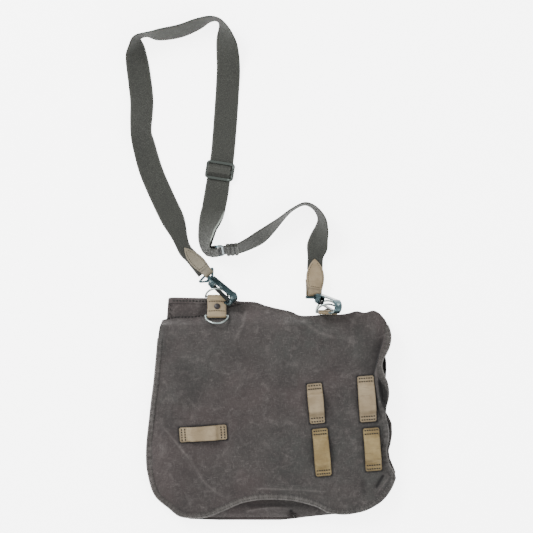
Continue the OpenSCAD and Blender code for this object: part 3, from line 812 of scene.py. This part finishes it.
def flap_height(x, y):
    """Height of the flap's upper side over the place x, y."""
    x = np.asarray(x, float)
    y = np.asarray(y, float)
    body = front_base(x, np.minimum(y, HINGE_Y)) + LAYER_GAP + FLAP_OVER
    seam = np.interp(x, SEAM_X, SEAM_Y)
    share = np.clip((y - HINGE_Y) / np.maximum(seam - HINGE_Y, 4), 0, 1)
    fall = fade(share)
    low = 5.8 + 11 * np.clip((x - 28) / 26, 0, 1)
    base = body * (1 - fall) + low * fall
    folds = flap_folds(x, y) * (1 - 0.75 * fall)
    return base + np.maximum(folds + turned_edge(x, y), -2.2)


def coons(top, bottom, left, right, nu, nv):
    """Grid of x, y places filled in between four edge lines; rows run from top to bottom."""
    u = np.linspace(0, 1, nu)[None, :, None]
    v = np.linspace(0, 1, nv)[:, None, None]
    t = smooth_line(top, nu)[None]
    b = smooth_line(bottom, nu)[None]
    le = smooth_line(left, nv)[:, None]
    r = smooth_line(right, nv)[:, None]
    upper = (1 - u) * t[:, :1] + u * t[:, -1:]
    lower = (1 - u) * b[:, :1] + u * b[:, -1:]
    return (1 - v) * (t - upper) + v * (b - lower) + (1 - u) * le + u * r


def with_height(grid, z):
    """Places x, y with their height added."""
    return np.concatenate([grid, z[..., None]], axis=-1)


def lifted(grid, height):
    """Places x, y put at the height that a function gives."""
    return with_height(grid, height(grid[..., 0], grid[..., 1]))


# Places round the loops where their shadow is painted on the flap: middle, turn, half length and half width.
LOOP_SHADOWS = [(58.9, 6.5, 5, 27, 10.5), (127.5, 12.5, 4, 31, 11.5), (66.8, -59, 5, 32, 10.7),
                (135, -55.5, 4, 29, 11), (-92.5, -34, -86, 32, 10)]


def left_of(line):
    """Direction to the left of a line at each of its points, which is into the cloth."""
    run = unit(np.gradient(line, axis=0))
    return np.stack([-run[:, 1], run[:, 0]], axis=1)


def flap_edge_line():
    """The flap's free edge as one line of points, with the direction into the cloth."""
    line = np.vstack([smooth_line(FLAP_LEFT, 90)[10:], smooth_line(FLAP_BOTTOM, 190)[1:-1],
                      smooth_line(FLAP_RIGHT, 110)[::-1][:-4]])
    inward = left_of(line)
    for _ in range(6):
        inward[1:-1] = unit(inward[:-2] + inward[1:-1] + inward[2:])
    return line, inward


def on_flap(line, lift=0.0):
    """A line of places x, y laid on the flap."""
    return with_height(line, flap_height(line[:, 0], line[:, 1]) + lift)


# Painted shade in the creases at the flap's lower right corner and below the outer loop there.
CORNER_CREASE = [(151, -89), (145, -99), (139, -109)]
LOOP_CREASE = [(121, -94), (123, -106), (126, -118)]


def painted_loop_shadow(x, y):
    """Painted shadow of the leather loops on the flap, under them and round their edges."""
    painted_shadow = np.zeros_like(x)
    for cx, cy, angle, half_l, half_w in LOOP_SHADOWS:
        c, s = math.cos(math.radians(angle)), math.sin(math.radians(angle))
        over_w = np.abs((x - cx) * c + (y - cy) * s) - half_w
        over_l = np.abs((y - cy) * c - (x - cx) * s) - half_l
        painted_shadow += np.exp(-(np.hypot(np.maximum(over_w, 0), np.maximum(over_l, 0)) / 1.7) ** 2)
    return painted_shadow


def build_flap():
    """The flap with its root, from the seam on the collar to its free edge."""
    xy = coons(FLAP_TOP, FLAP_BOTTOM, FLAP_LEFT, FLAP_RIGHT, 230, 200)
    top = lifted(xy, flap_height)
    x, y = xy[..., 0], xy[..., 1]
    wear = np.zeros_like(x)
    for line, height, width in FLAP_FOLDS:
        if height > 1.2:
            wear += 0.5 * stroke(x, y, line, width * 0.28)
    wear += 0.45 * np.maximum(0, cloth_noise(x, y, 13, 21) - 0.45)
    dark, rim = turned_marks(x, y)
    wear += rim
    # Painted shade in the two creases; the noise below adds random dark blotches to the cloth.
    dark += 1.4 * stroke(x, y, CORNER_CREASE, 1.7) + 0.4 * stroke(x, y, LOOP_CREASE, 4.0)
    dark += 0.35 * np.maximum(0, cloth_noise(x, y, 48, 33) - 0.1)
    # The upper side takes the painted shadow of the loops; the under side takes a third of the other
    # darkness.
    dark = (dark + painted_loop_shadow(x, y), 0.3 * dark)
    flap = sheet_piece("flap_cloth", top, CANVAS_T, CANVAS, wear=wear, dark=dark)
    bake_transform(flap)
    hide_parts("flap", "flap_root")
    return flap


TAPE_W = 7.2            # how far the tape reaches in from the free edge, mm
# Section of the tape: distance from the free edge and height over the flap, round the rim and under it.
TAPE_SECTION = [(TAPE_W, 0.15), (TAPE_W - 0.6, 0.75), (TAPE_W / 2, 0.95), (1.2, 0.85), (-0.7, 0.1),
                (-0.9, -0.8), (0.2, -CANVAS_T - 0.7), (TAPE_W - 1.5, -CANVAS_T - 0.55)]
TAPE_RIB = 1.9          # how far the wave of its ribs goes on from one point to the next


def build_flap_tape():
    """Tape round the flap's free edge: over the top, round the rim and a little way under."""
    line, inward = flap_edge_line()
    rows = []
    for d, lift in TAPE_SECTION:
        inner = line + inward * max(d, 0.3)
        z = flap_height(inner[:, 0], inner[:, 1]) + lift
        rows.append(with_height(line + inward * d, z))
    grid = np.array(rows)
    along = np.arange(grid.shape[1])
    rib = np.sin(along * TAPE_RIB)
    grid[1:5, :, 2] += 0.28 * rib
    curled = fade((line[:, 0] + 96) / 20) * fade((84 - line[:, 0]) / 16) * (line[:, 1] < -60)
    wear_and_highlight = np.tile(0.05 + 0.06 * np.sin(along * 0.13) + 0.3 * (rib > 0.2), (len(rows), 1))
    # On the curled lower hem the pale mark is a painted highlight; elsewhere it is rubbed wear.
    wear_and_highlight[2:6] += 0.35 * curled
    wear_and_highlight[3:6] += 0.3
    # Painted shade beside the turned edge, and a painted shadow line along the tape's inner edge, stronger on
    # the curled hem.
    dark, rim = turned_marks(grid[..., 0], grid[..., 1])
    wear_and_highlight = wear_and_highlight * (1 - np.clip(dark, 0, 1)) + rim
    dark[0] += 0.5 + 0.4 * curled
    tape = sheet_piece("flap_tape", grid, lowered(grid, 0.25), HEM, wear=wear_and_highlight, dark=dark)
    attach(tape, "flap")
    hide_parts("flap_binding")
    seams = Thread()
    for d in (1.9, 6.0):
        row = line + inward * d
        seams.row(on_flap(row, 1.15), [0, 0, 1], pitch=3.2, length=2.1, width=0.8, height=0.7)
    seams.build("flap_tape_stitches", HEM_THREAD, "flap")
    return tape


def body_grid(top_y, low_y, inset, nu, nv):
    """Places across the body of the bag, rows from top to bottom, with its lower corners rounded."""
    v = np.linspace(0, 1, nv)
    y = top_y + (low_y - top_y) * (1 - (1 - v) ** 1.6)
    le = at_y(BODY_LEFT, y) + inset
    r = at_y(BODY_RIGHT, y) - inset
    u = 1 - (1 - np.linspace(0, 1, nu)[None]) ** 1.5
    x = le[:, None] * (1 - u) + r[:, None] * u
    return np.stack([x, np.repeat(y[:, None], nu, axis=1)], axis=-1)


def rim_groove(x, y):
    """1 in the groove between the front panel and the bound rim on the right, 0 elsewhere; the groove is also
    painted dark as shadow.
    """
    inside = at_y(BODY_RIGHT, y) - x
    return np.exp(-((inside - 6.5) / 3.6) ** 4) * fade((84 - y) / 20) * fade((y + 100) / 16)


# Front panel: the slit at its lower right and the edge of its second layer.
LOWER_SLIT = [(24, -136), (27, -142), (30, -149)]
SECOND_LAYER = [(-38, -139.5), (-13, -135.5), (6, -134.6), (24, -135.4)]


def front_height(x, y):
    """Height of the front panel's upper side."""
    wrinkle = 0.35 * cloth_noise(x, y, 40, 14)
    layer = 1.3 * stroke(x, y, SECOND_LAYER, 2.2) - 2.4 * stroke(x, y, LOWER_SLIT, 2.4)
    return front_base(x, y) + wrinkle - 0.3 - 4.2 * rim_groove(x, y) + layer


def build_body():
    """Back and front panels."""
    back = body_grid(117, LOW_Y, 3.5, 90, 70)
    panel = sheet_piece("back_cloth", with_height(back, 0 * back[..., 0] + CANVAS_T), CANVAS_T, CANVAS, "bag")
    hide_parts("back_panel")
    front = lifted(body_grid(MOUTH_Y, LOW_Y + 0.5, 1.6, 150, 110), front_height)
    x, y = front[..., 0], front[..., 1]
    # Painted shadow in the groove by the right rim and in the slit, and painted shade under the flap and just
    # below its lower edge.
    dark = 1.2 * rim_groove(x, y) + 1.1 * stroke(x, y, LOWER_SLIT, 1.8)
    dark += 0.35 * fade((-128 - y) / -8) + 0.5 * np.exp(-((y + 131) / 3.5) ** 2) * (np.abs(x - 10) < 70)
    wear = 0.9 * stroke(x, y, SECOND_LAYER, 0.9)
    face = sheet_piece("front_cloth", front, CANVAS_T, CANVAS, "bag", dark=dark, wear=wear)
    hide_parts("front_panel")
    return panel, face


# Section of the gusset: distance in from the outline, height, and lift of the bound rim on the right.
GUSSET_SECTION = [(4.5, 7.6, -1.5), (2.2, 7.4, 5.0), (1.0, 6.4, 5.0), (2.6, 5.0, 0), (3.0, 4.2, 0),
                  (1.4, 3.2, 0), (1.6, 2.4, 0), (4.4, 2.0, 0)]


def build_gusset():
    """Side strip of the bag, folded outwards between the two panels, with a bound seam at each panel."""
    side = np.array([(at_y(BODY_LEFT, y), y) for y in np.linspace(MOUTH_Y, LOW_Y + 0.4, 90)])
    other = np.array([(at_y(BODY_RIGHT, y), y) for y in np.linspace(LOW_Y + 0.4, MOUTH_Y, 120)])
    line = smooth_line(np.vstack([side, other]), 300)
    inward = left_of(line)
    x, y = line[:, 0], line[:, 1]
    bound = fade((x - 120) / 10) * fade((-4 - y) / 8) * fade((y + 104) / 12)
    grid = np.array([with_height(line + inward * d, z + bound * lift) for d, z, lift in GUSSET_SECTION])
    inner = grid.copy()
    inner[..., :2] += inward[None] * 1.3
    rim = np.zeros(grid.shape[:2])
    rim[1:3] = 0.8
    strip = sheet_piece("gusset_cloth", grid, inner, CANVAS, "bag", wear=rim)
    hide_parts("gusset")


COLLAR_TOP = smooth_line([
    (-140.5, 146.5), (-136, 148.6), (-110, 148.3), (-80, 147.6), (-60, 146.6), (-43, 143.5), (-22, 142.3),
    (-6, 136.5), (14, 130), (34, 125), (52, 121)], 130)
COLLAR_LOW = smooth_line([(-143, 112), (-100, 112), (-60, 112), (-20, 112), (20, 112), (56, 112)], 130)
COLLAR_DENT = [(-100, 142), (-96, 128)]
COLLAR_HEM_W = 8.5      # width of the hem tape, mm
COLLAR_HEM_STOP = 108   # the hem tape goes out of sight at this point of the upper edge


def collar_height(x, y):
    """Height of the collar's upper side."""
    return 2.6 + 0.9 * cloth_noise(x, y, 24, 5) + 1.3 * stroke(x, y, COLLAR_DENT, 5)


def between(first, last, count):
    """Grid of places from one line to another."""
    v = np.linspace(0, 1, count)[:, None, None]
    return first[None] * (1 - v) + last[None] * v


def build_collar():
    """Upper edge of the back panel: hemmed at the left and sunk in the middle."""
    grid = lifted(between(COLLAR_TOP, COLLAR_LOW, 26), collar_height)
    grid[..., 2] = np.maximum(grid[..., 2], CANVAS_T + 0.1)
    collar = sheet_piece("collar_cloth", grid, CANVAS_T, CANVAS, "bag")
    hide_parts("collar")
    return collar


def build_collar_wall():
    """The right half of the collar, on edge from its foot on the back panel up to the flap."""
    foot_z = 1.7
    xs = np.linspace(24, 149, 84)
    ys = 120.4 + 1.6 * np.sin(xs * 0.11) + 0.9 * np.sin(xs * 0.31)
    rise = flap_height(xs, ys) - 0.7 * CANVAS_T - foot_z
    wall = [np.column_stack([xs, ys - 0.7 * (1 - share), foot_z + rise * share])
            for share in (1, 0.75, 0.5, 0.25, 0)]
    foot = [np.column_stack([xs, ys - reach, np.full(len(xs), foot_z - 0.1)]) for reach in (2.5, 5.5)]
    outer = np.array(wall + foot)
    inner = outer + np.array([0, -CANVAS_T, 0])
    inner[len(wall):] = outer[len(wall):] + np.array([0, 0, 0.9])
    wall_obj = sheet_piece("collar_turned_cloth", outer, inner, CANVAS, "bag")


def build_collar_hem():
    """Hem tape along the upper edge of the collar, with the stitches of the hem and of the flap's seam."""
    top = COLLAR_TOP[:COLLAR_HEM_STOP]
    hem = lifted(between(top, top - np.array([0, COLLAR_HEM_W]), 7), collar_height)
    hem[..., 2] += 1.05
    hem[0, :, 2] -= 0.9
    hem[-1, :, 2] -= 0.5
    tape = sheet_piece("collar_hem_cloth", hem, 0.9, CANVAS, "bag", wear=np.full(hem.shape[:2], 0.18))
    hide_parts("collar_hem")
    seams = Thread()
    for share, first, last in ((3, 4, 106), (6, 62, 106)):
        row = hem[share, first:last] + np.array([0, 0, 0.6])
        seams.row(row, [0, 0, 1], pitch=4.4, length=3.0, width=2.3, height=1.2)
    left = np.column_stack([np.linspace(-137, -138.6, 8), np.linspace(141, 124, 8), np.full(8, 4.4)])
    seams.row(left, [0, 0, 1], pitch=4.4, length=3.0, width=2.0, height=1.2)
    seam = smooth_line([(-142, 120.2), (-128, 122.2), (-108, 122.4), (-92, 124.6)], 30)
    seams.row(on_flap(seam, 0.7), [0, 0, 1], pitch=4.2, length=3.4, width=2.2, height=1.3)
    seams.build("collar_stitches", THREAD, "bag")
    return tape


def build_mouth_hem():
    """Folded hem inside the mouth of the bag, under the upper edge of the front panel."""
    xs = np.linspace(-138, 138, 70)
    rows = []
    for y, drop in ((MOUTH_Y - 0.5, 2.5), (MOUTH_Y - 3, 2.7), (MOUTH_Y - 13, 2.6)):
        ys = np.full(70, y)
        rows.append(np.column_stack([xs, ys, front_height(xs, ys) - drop]))
    hem = sheet_piece("mouth_hem_cloth", np.array(rows), 1.2, HEM, "bag")
    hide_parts("mouth_hem")


# ------------------------------------------------------------------ leather on the flap

def turned(points, angle, at):
    """Points turned about +Z by degrees, then moved to a place."""
    c, s = math.cos(math.radians(angle)), math.sin(math.radians(angle))
    p = np.asarray(points, float)
    return np.stack([p[..., 0] * c - p[..., 1] * s + at[0], p[..., 0] * s + p[..., 1] * c + at[1]], axis=-1)


LOOP_FOOT = 9.0             # length of a loop's sewn ends, mm
LOOP_CORNER = 2.2           # radius of its corners
LOOP_SEAMS = (2.8, 7.4)     # its two rows of stitches, from its end
SEWN_IN = 0.9               # half width of the groove that a row of stitches pulls in


def build_loop(node, x, y, angle, length, width, rise, material, slot_name, seed):
    """A leather loop sewn down at both ends over two rows of stitches, standing off the flap between."""
    nu, nv = 15, 60
    across = np.linspace(-1, 1, nu)
    along = np.linspace(-1, 1, nv)
    half_l, half_w = length / 2, width / 2
    end = np.maximum(0, np.abs(across) * half_w - (half_w - LOOP_CORNER)) / LOOP_CORNER
    shorter = LOOP_CORNER * (1 - np.sqrt(1 - end ** 2)) / half_l
    a, b = np.meshgrid(across, along)
    ly = b * half_l * (1 - shorter[None])
    lx = a * half_w * (1 + 0.02 * np.sin(b * 3 + seed))
    place = turned(np.stack([lx, ly], axis=-1), angle, (x, y))
    arch = fade((half_l * (1 - np.abs(b)) - LOOP_FOOT) / 7.5)
    ground = flap_height(place[..., 0], place[..., 1])
    level = ground.mean(axis=1, keepdims=True) * 0.7 + ground * 0.3
    wobble = 0.25 * np.sin(a * 2.2 + seed) + 0.35 * cloth_noise(place[..., 0], place[..., 1], 16, seed)
    z = level * arch + ground * (1 - arch) + 0.15 + LEATHER_T + (rise + wobble) * arch
    from_end = half_l * (1 - np.abs(b))
    sewn = sum(np.exp(-((from_end - back) / SEWN_IN) ** 2) for back in LOOP_SEAMS)
    top = with_height(place, z - 0.28 * sewn)
    rim = np.maximum(np.abs(a), np.abs(b) - shorter[None])
    dark = 0.5 * np.clip((rim - 0.93) / 0.07, 0, 1) + 0.22 * sewn
    loop = sheet_piece(node + "_leather", top, lowered(top, LEATHER_T), material, "flap", dark=dark)
    round_edges(loop, 0.45)
    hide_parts(node)
    seams = Thread()
    for sign in (-1, 1):
        for back in LOOP_SEAMS:
            j = int(round((sign * (half_l - back) / half_l + 1) / 2 * (nv - 1)))
            i = (np.linspace(-0.86, 0.86, 9) + 1) / 2 * (nu - 1)
            row = np.column_stack([np.interp(i, np.arange(nu), top[j, :, k]) for k in range(3)])
            seams.row(row + [0, 0, 0.35], [0, 0, 1], pitch=3.0, length=2.5, width=1.75, height=1.1)
    seams.build(node + "_leather_stitches", THREAD, "flap")


# Loops: node, place x and y, angle, length, width, rise, material, slot and seed.
LOOPS = [("loop_upper_inner", 58.9, 6.5, 5, 54, 21, 5.6, PALE, "pale_leather", 1.0),
         ("loop_upper_outer", 127.5, 12.5, 4, 62, 23, 5.0, PALE, "pale_leather", 2.2),
         ("loop_lower_inner", 66.8, -59, 5, 64, 21.5, 5.4, OCHRE, "ochre_leather", 3.1),
         ("loop_lower_outer", 135, -55.5, 4, 58, 22, 5.0, OCHRE, "ochre_leather", 4.3),
         ("loop_side", -92.5, -34, -86, 64, 20, 5.0, PALE, "pale_leather", 5.7)]


def build_side_patch():
    """Rectangle of stitches over the side loop, where the closing tab is sewn on underneath."""
    seams = Thread()
    corners = np.array([(-134.5, 5), (-111, 5.5), (-110.5, -13.5), (-135, -14), (-134.5, 5)])
    line = np.vstack([np.linspace(a, b, 8, endpoint=False) for a, b in zip(corners, corners[1:])])
    seams.row(on_flap(line, 0.15), [0, 0, 1], pitch=3.0, length=2.0, width=0.5, height=0.5)
    seams.build("patch_stitches", HEM_THREAD, "flap")


def build_closing_tab():
    """Closing tab that hangs under the flap, with a buttonhole for the stud on the front panel."""
    x, top_y, length, width = -120.0, 6.0, 46.0, 20.0
    stud_y, hole = -30.0, 5.6
    above, below = top_y - stud_y, length - (top_y - stud_y)
    outer = []
    inner = []
    for t in np.linspace(0, 2 * math.pi, 41):
        c, s = math.cos(t), math.sin(t)
        reach = min(width / 2 / max(abs(c), 1e-6), (above if s > 0 else below) / max(abs(s), 1e-6))
        outer.append((x + c * reach, stud_y + s * reach))
        inner.append((x + c * hole, stud_y + s * hole))
    xy = between(np.array(outer), np.array(inner), 7)
    grid = with_height(xy, front_base(xy[..., 0], xy[..., 1]) + LAYER_GAP - 0.35)
    tab = sheet_piece("closing_tab_leather", grid, lowered(grid, 1.3), PALE, "flap")
    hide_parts("closing_tab")


# ------------------------------------------------------------------ leather ends of the strap

def leaf_width(s, total, widest, neck):
    """Width of the pointed leather patch at a distance s from its tip."""
    point = 27.0
    tip = widest * np.clip(1 - (1 - np.clip(s / point, 0, 1)) ** 2.1, 0.02, 1) ** 0.85
    return np.where(s < point, tip, widest + (neck - widest) * fade((s - point) / max(total - point, 1)))


def patch_mesh(name, frames, widths, material, bent):
    """A leather strip of changing width along its frames, dark at its cut edges and where it is bent."""
    a = np.linspace(-1, 1, 15)
    half = 0.45 * LEATHER_T * np.where(np.abs(a) > 0.99, 0.45, 1.0)
    section = np.concatenate([a, a[::-1]])
    rise = np.concatenate([half, -half]) * np.ones((len(widths), 1))
    dark = 0.55 * np.maximum(0, (np.abs(section) - 0.86) / 0.14) + bent[:, None]
    marks = {"dark": np.clip(dark, 0, 1)}
    return strip_mesh(name, frames, section, widths / 2, rise, material, "bag", marks)


def build_strap_end(side, route, shifts, widest, neck, leather):
    """Leather patch sewn over the end of the webbing, folded round the eye's bar and back underneath."""
    mid, across, up = route_frames(route, 1.6)
    mid = mid + across * np.linspace(*shifts, len(mid))[:, None]
    run = distances(mid)
    apart = 1.95 + 1.15 * fade((run - run[-1] + 16) / 16)
    first = int(len(mid) * 0.5)
    layers = (mid, across, up)
    fold = fold_frames(layers, unit(mid[-1] - mid[-3]), apart[-1])
    below = tuple(p[first:] for p in off_middle(layers, -apart[:, None]))
    frames = join_frames(off_middle(layers, apart[:, None]), fold, underside(below))
    over = leaf_width(run, run[-1], widest, neck)
    widths = np.concatenate([over, np.full(len(fold[0]), neck), over[first:][::-1]])
    bent = np.zeros(len(widths))
    bent[:len(mid)] = 0.5 * np.exp(-(run - run[-1] + 7) ** 2)
    end = patch_mesh(side + "_end_leather", frames, widths, leather, bent)
    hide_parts(side + "_strap_end")
    seams = Thread()
    face = mid + up * (apart + 0.95)[:, None]
    keep = (run > 5) & (run < run[-1] - 9)
    inset = np.maximum(over / 2 - 2.6, 0.15)
    for sign in (-1, 1):
        line = (face + across * (inset * sign)[:, None])[keep]
        seams.row(line, up[keep], pitch=2.6, length=2.0, width=0.8, height=0.7)
    last = np.nonzero(keep)[0][-1]
    cross = np.array([face[last] + across[last] * s for s in np.linspace(-7.2, 7.2, 9)])
    seams.row(cross, up[last], pitch=2.8, length=2.0, width=0.9, height=0.7)
    seams.build(side + "_end_stitches", THREAD, "bag")


# Routes of the leather ends' middle: x, y, z and roll.
LEFT_END = [(-117.7, 215.8, 2.6, 0), (-109.5, 204.6, 4.6, 0), (-100.5, 193.4, 8.2, 0),
            (-94, 185.2, 11.2, 0), (-89, 179, 12.5, 0)]
RIGHT_END = [(57.6, 200.5, 5.0, 2), (58.2, 187, 6.4, -4), (57.8, 172, 9.2, -12),
             (56.6, 159, 12.0, -26), (56, 152.5, 12.5, -33)]


# ------------------------------------------------------------------ tabs of the D-rings

TAB_HALF = 13.1         # half the width of a tab, mm
TAB_FOLD = 2.9          # from the ring's bar to the outside of the leather folded round it


def tab_section(length):
    """Outline of a folded tab from the side: along it and out from its middle."""
    arc = np.linspace(-math.pi / 2, math.pi / 2, 14)
    bend = TAB_FOLD * np.stack([np.cos(arc), np.sin(arc)], axis=1)
    flat = np.linspace(0, length, 40)[1:-1]
    upper = np.column_stack([flat[::-1], np.full(len(flat), TAB_FOLD)])
    lower = np.column_stack([flat, np.full(len(flat), -TAB_FOLD)])
    return np.vstack([bend + [length, 0], upper, -bend, lower])


def tab_relief(s, c, length, creases):
    """How far a tab's outer side sinks in at its creases and rivet, and how dark its creases are."""
    dent = -0.5 * math.exp(-((s - length / 2) ** 2 + (c * TAB_HALF) ** 2) / 30)
    dark = 0.0
    for at_s, depth in creases:
        off = s - at_s + 0.9 * c * c
        dent -= depth * math.exp(-(off / 0.8) ** 2)
        dark += 0.55 * depth * math.exp(-(off / 0.7) ** 2)
    return dent, dark


def build_tab(side, start, stop, creases):
    """Leather tab folded round the bars of two rings, sewn and riveted between them."""
    start = np.array(start, float)
    run = np.array(stop, float) - start
    length = np.linalg.norm(run)
    ahead = run / length
    out = np.array([0, -ahead[2], ahead[1]])
    profile = tab_section(length)
    side_n = 23
    grid = np.zeros((len(profile), side_n, 3))
    dark = np.zeros((len(profile), side_n))
    for i, (s, h) in enumerate(profile):
        outward = unit([min(0, s) + max(0, s - length), h])
        waist = 1 - 0.05 * math.exp(-((s - length * 0.45) / 6.5) ** 2)
        for k, c in enumerate(np.linspace(-1, 1, side_n)):
            edge = max(0.0, (abs(c) - 0.9) / 0.1)
            dent, crease = tab_relief(s, c, length, creases) if h > 0 else (0.0, 0.0)
            reach = 0.25 * noise.noise(Vector((c * 2.2, s * 0.12, start[0]))) - 0.9 * edge ** 2 + dent
            grid[i, k] = start + ahead * (s + outward[0] * reach) + out * (h + outward[1] * reach)
            grid[i, k, 0] += c * TAB_HALF * waist
            dark[i, k] = crease + 0.5 * edge
    verts = grid.swapaxes(0, 1).reshape(-1, 3)
    marks = {"dark": np.clip(dark.T, 0, 1)}
    faces = tube_faces(side_n, len(profile))
    tab = make_object(side + "_tab_leather", verts, faces, PALE, "bag", marks)
    mend_normals(tab)
    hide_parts(side + "_tab")
    seams = Thread()
    for at_s, _ in creases:
        row = [start + ahead * (at_s - 0.9 * c * c) + out * (TAB_FOLD + 0.05) + np.array([c * TAB_HALF, 0, 0])
               for c in np.linspace(-0.86, 0.86, 11)]
        seams.row(np.array(row), out, pitch=3.0, length=2.4, width=0.8, height=0.7)
    seams.build(side + "_tab_stitches", THREAD, "bag")


# ------------------------------------------------------------------ slider wrap and keeper

SLIDER_AT = (-70.4, 320.0)      # middle of the slider, x and y in mm
SLIDER_TURN = 81.0              # its turn about +Z, degrees
WRAP_HALF_L = 9.0       # half the length of the webbing wrapped over the slider's bar, mm
WRAP_HALF_W = 15.4      # half its width
WRAP_SHIFT = 1.4        # how far it lies off the middle of the slider
KEEPER_AT = (-53.5, 213.5, 16.8)
KEEPER_TURN = 5.0       # its turn about +Z, degrees
KEEPER_TILT = math.radians(66)      # how far it stands up on edge
KEEPER_HALF_L = 8.2     # half the length of the keeper, mm
KEEPER_HALF_W = 16.4    # half its width
KEEPER_RIB = 5.45       # from one rib to the next


def build_slider_wrap():
    """The webbing where it comes up through the slider and goes over its middle bar."""
    x, y = np.meshgrid(np.linspace(-WRAP_HALF_L, WRAP_HALF_L, 40), np.linspace(-WRAP_HALF_W, WRAP_HALF_W, 30))
    off = np.abs(y) / WRAP_HALF_W
    rise = fade((8.8 - np.abs(x)) / 6.2)
    z = 2.9 + 3.6 * rise - 0.25 * off ** 6 + 0.06 * np.sin(y * 1.3)
    grid = with_height(turned(np.stack([x, y + WRAP_SHIFT], axis=-1), SLIDER_TURN, SLIDER_AT), z)
    wear = np.clip((off - 0.88) * 5, 0, 1) * 0.7 + 0.15 * (rise > 0.9)
    wrap = sheet_piece("slider_wrap_webbing", grid, lowered(grid, WEB_T - 0.6), WEBBING, "slider", wear=wear)
    mend_normals(wrap)
    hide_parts("slider_wrap")


def build_keeper():
    """Ribbed woven keeper round the folded end of the short strap, beside the ring."""
    x, y = np.meshgrid(np.linspace(-KEEPER_HALF_L, KEEPER_HALF_L, 66),
                       np.linspace(-KEEPER_HALF_W, KEEPER_HALF_W, 26))
    rib = np.abs(np.sin((x + KEEPER_HALF_L) / KEEPER_RIB * math.pi)) ** 0.6
    edge = np.clip((np.abs(y) - KEEPER_HALF_W + 2) / 2, 0, 1)
    z = 1.5 + 1.7 * rib * (1 - 0.5 * edge ** 2) - 1.2 * edge ** 2 + 0.12 * np.sin(y * 1.1 + x)

    def stand(height):
        c, s = math.cos(KEEPER_TILT), math.sin(KEEPER_TILT)
        flat = turned(np.stack([x, y * c - height * s], axis=-1), KEEPER_TURN, KEEPER_AT)
        return with_height(flat, y * s + height * c + KEEPER_AT[2])

    wear = 0.12 * (rib > 0.85) + 0.9 * (x > KEEPER_HALF_L - 1)
    # Painted shade in the grooves between the ribs.
    dark = 1.0 * (rib < 0.5) * (np.abs(x) < KEEPER_HALF_L - 0.8)
    keeper = sheet_piece("keeper_cloth", stand(z), stand(-z * 0.8), WEBBING, "bag", wear=wear, dark=dark)
    mend_normals(keeper)
    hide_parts("keeper")


# ------------------------------------------------------------------ putting it together

def paint_frame():
    """Gives every CAD node that stays in view its material."""
    looks = {"closing_stud": RIVET, "left_tab_rivet": RIVET, "right_tab_rivet": RIVET, "slider_frame": SLIDER,
             "strap_ring": BLUED}
    for side in ("left", "right"):
        for part in ("hook_ring", "spare_ring"):
            looks[f"{side}_{part}"] = NICKEL
        for part in ("eye", "swivel_rivet", "hook_body", "gate_rivet"):
            looks[f"{side}_{part}"] = BLUED
        looks[side + "_gate"] = BLACKED
        looks[side + "_gate_spring"] = SPRING
    for name, look in looks.items():
        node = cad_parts[name]
        for k in range(max(1, len(node.material_slots))):
            if node.material_slots:
                node.material_slots[k].material = look
            else:
                node.data.materials.append(look)


back, front = build_body()
build_gusset()
build_mouth_hem()
collar = build_collar()
build_collar_wall()
collar_hem = build_collar_hem()
flap = build_flap()
flap_tape = build_flap_tape()
build_side_patch()
build_closing_tab()
for row in LOOPS:
    build_loop(*row)
build_strap_end("left", LEFT_END, (-0.6, 4.0), 18.4, 13.5, GREY_LEATHER)
build_strap_end("right", RIGHT_END, (0.0, 0.0), 25.0, 20.5, PALE)
build_tab("left", (-74.5, 124, 15.2), (-74.5, 149.5, 7.4), [(6.3, 0.5), (19.6, 0.75)])
build_tab("right", (75, 129, 3.4), (75, 129, 29), [(6.3, 0.5), (19.3, 0.6)])
build_slider_wrap()
build_keeper()
paint_frame()
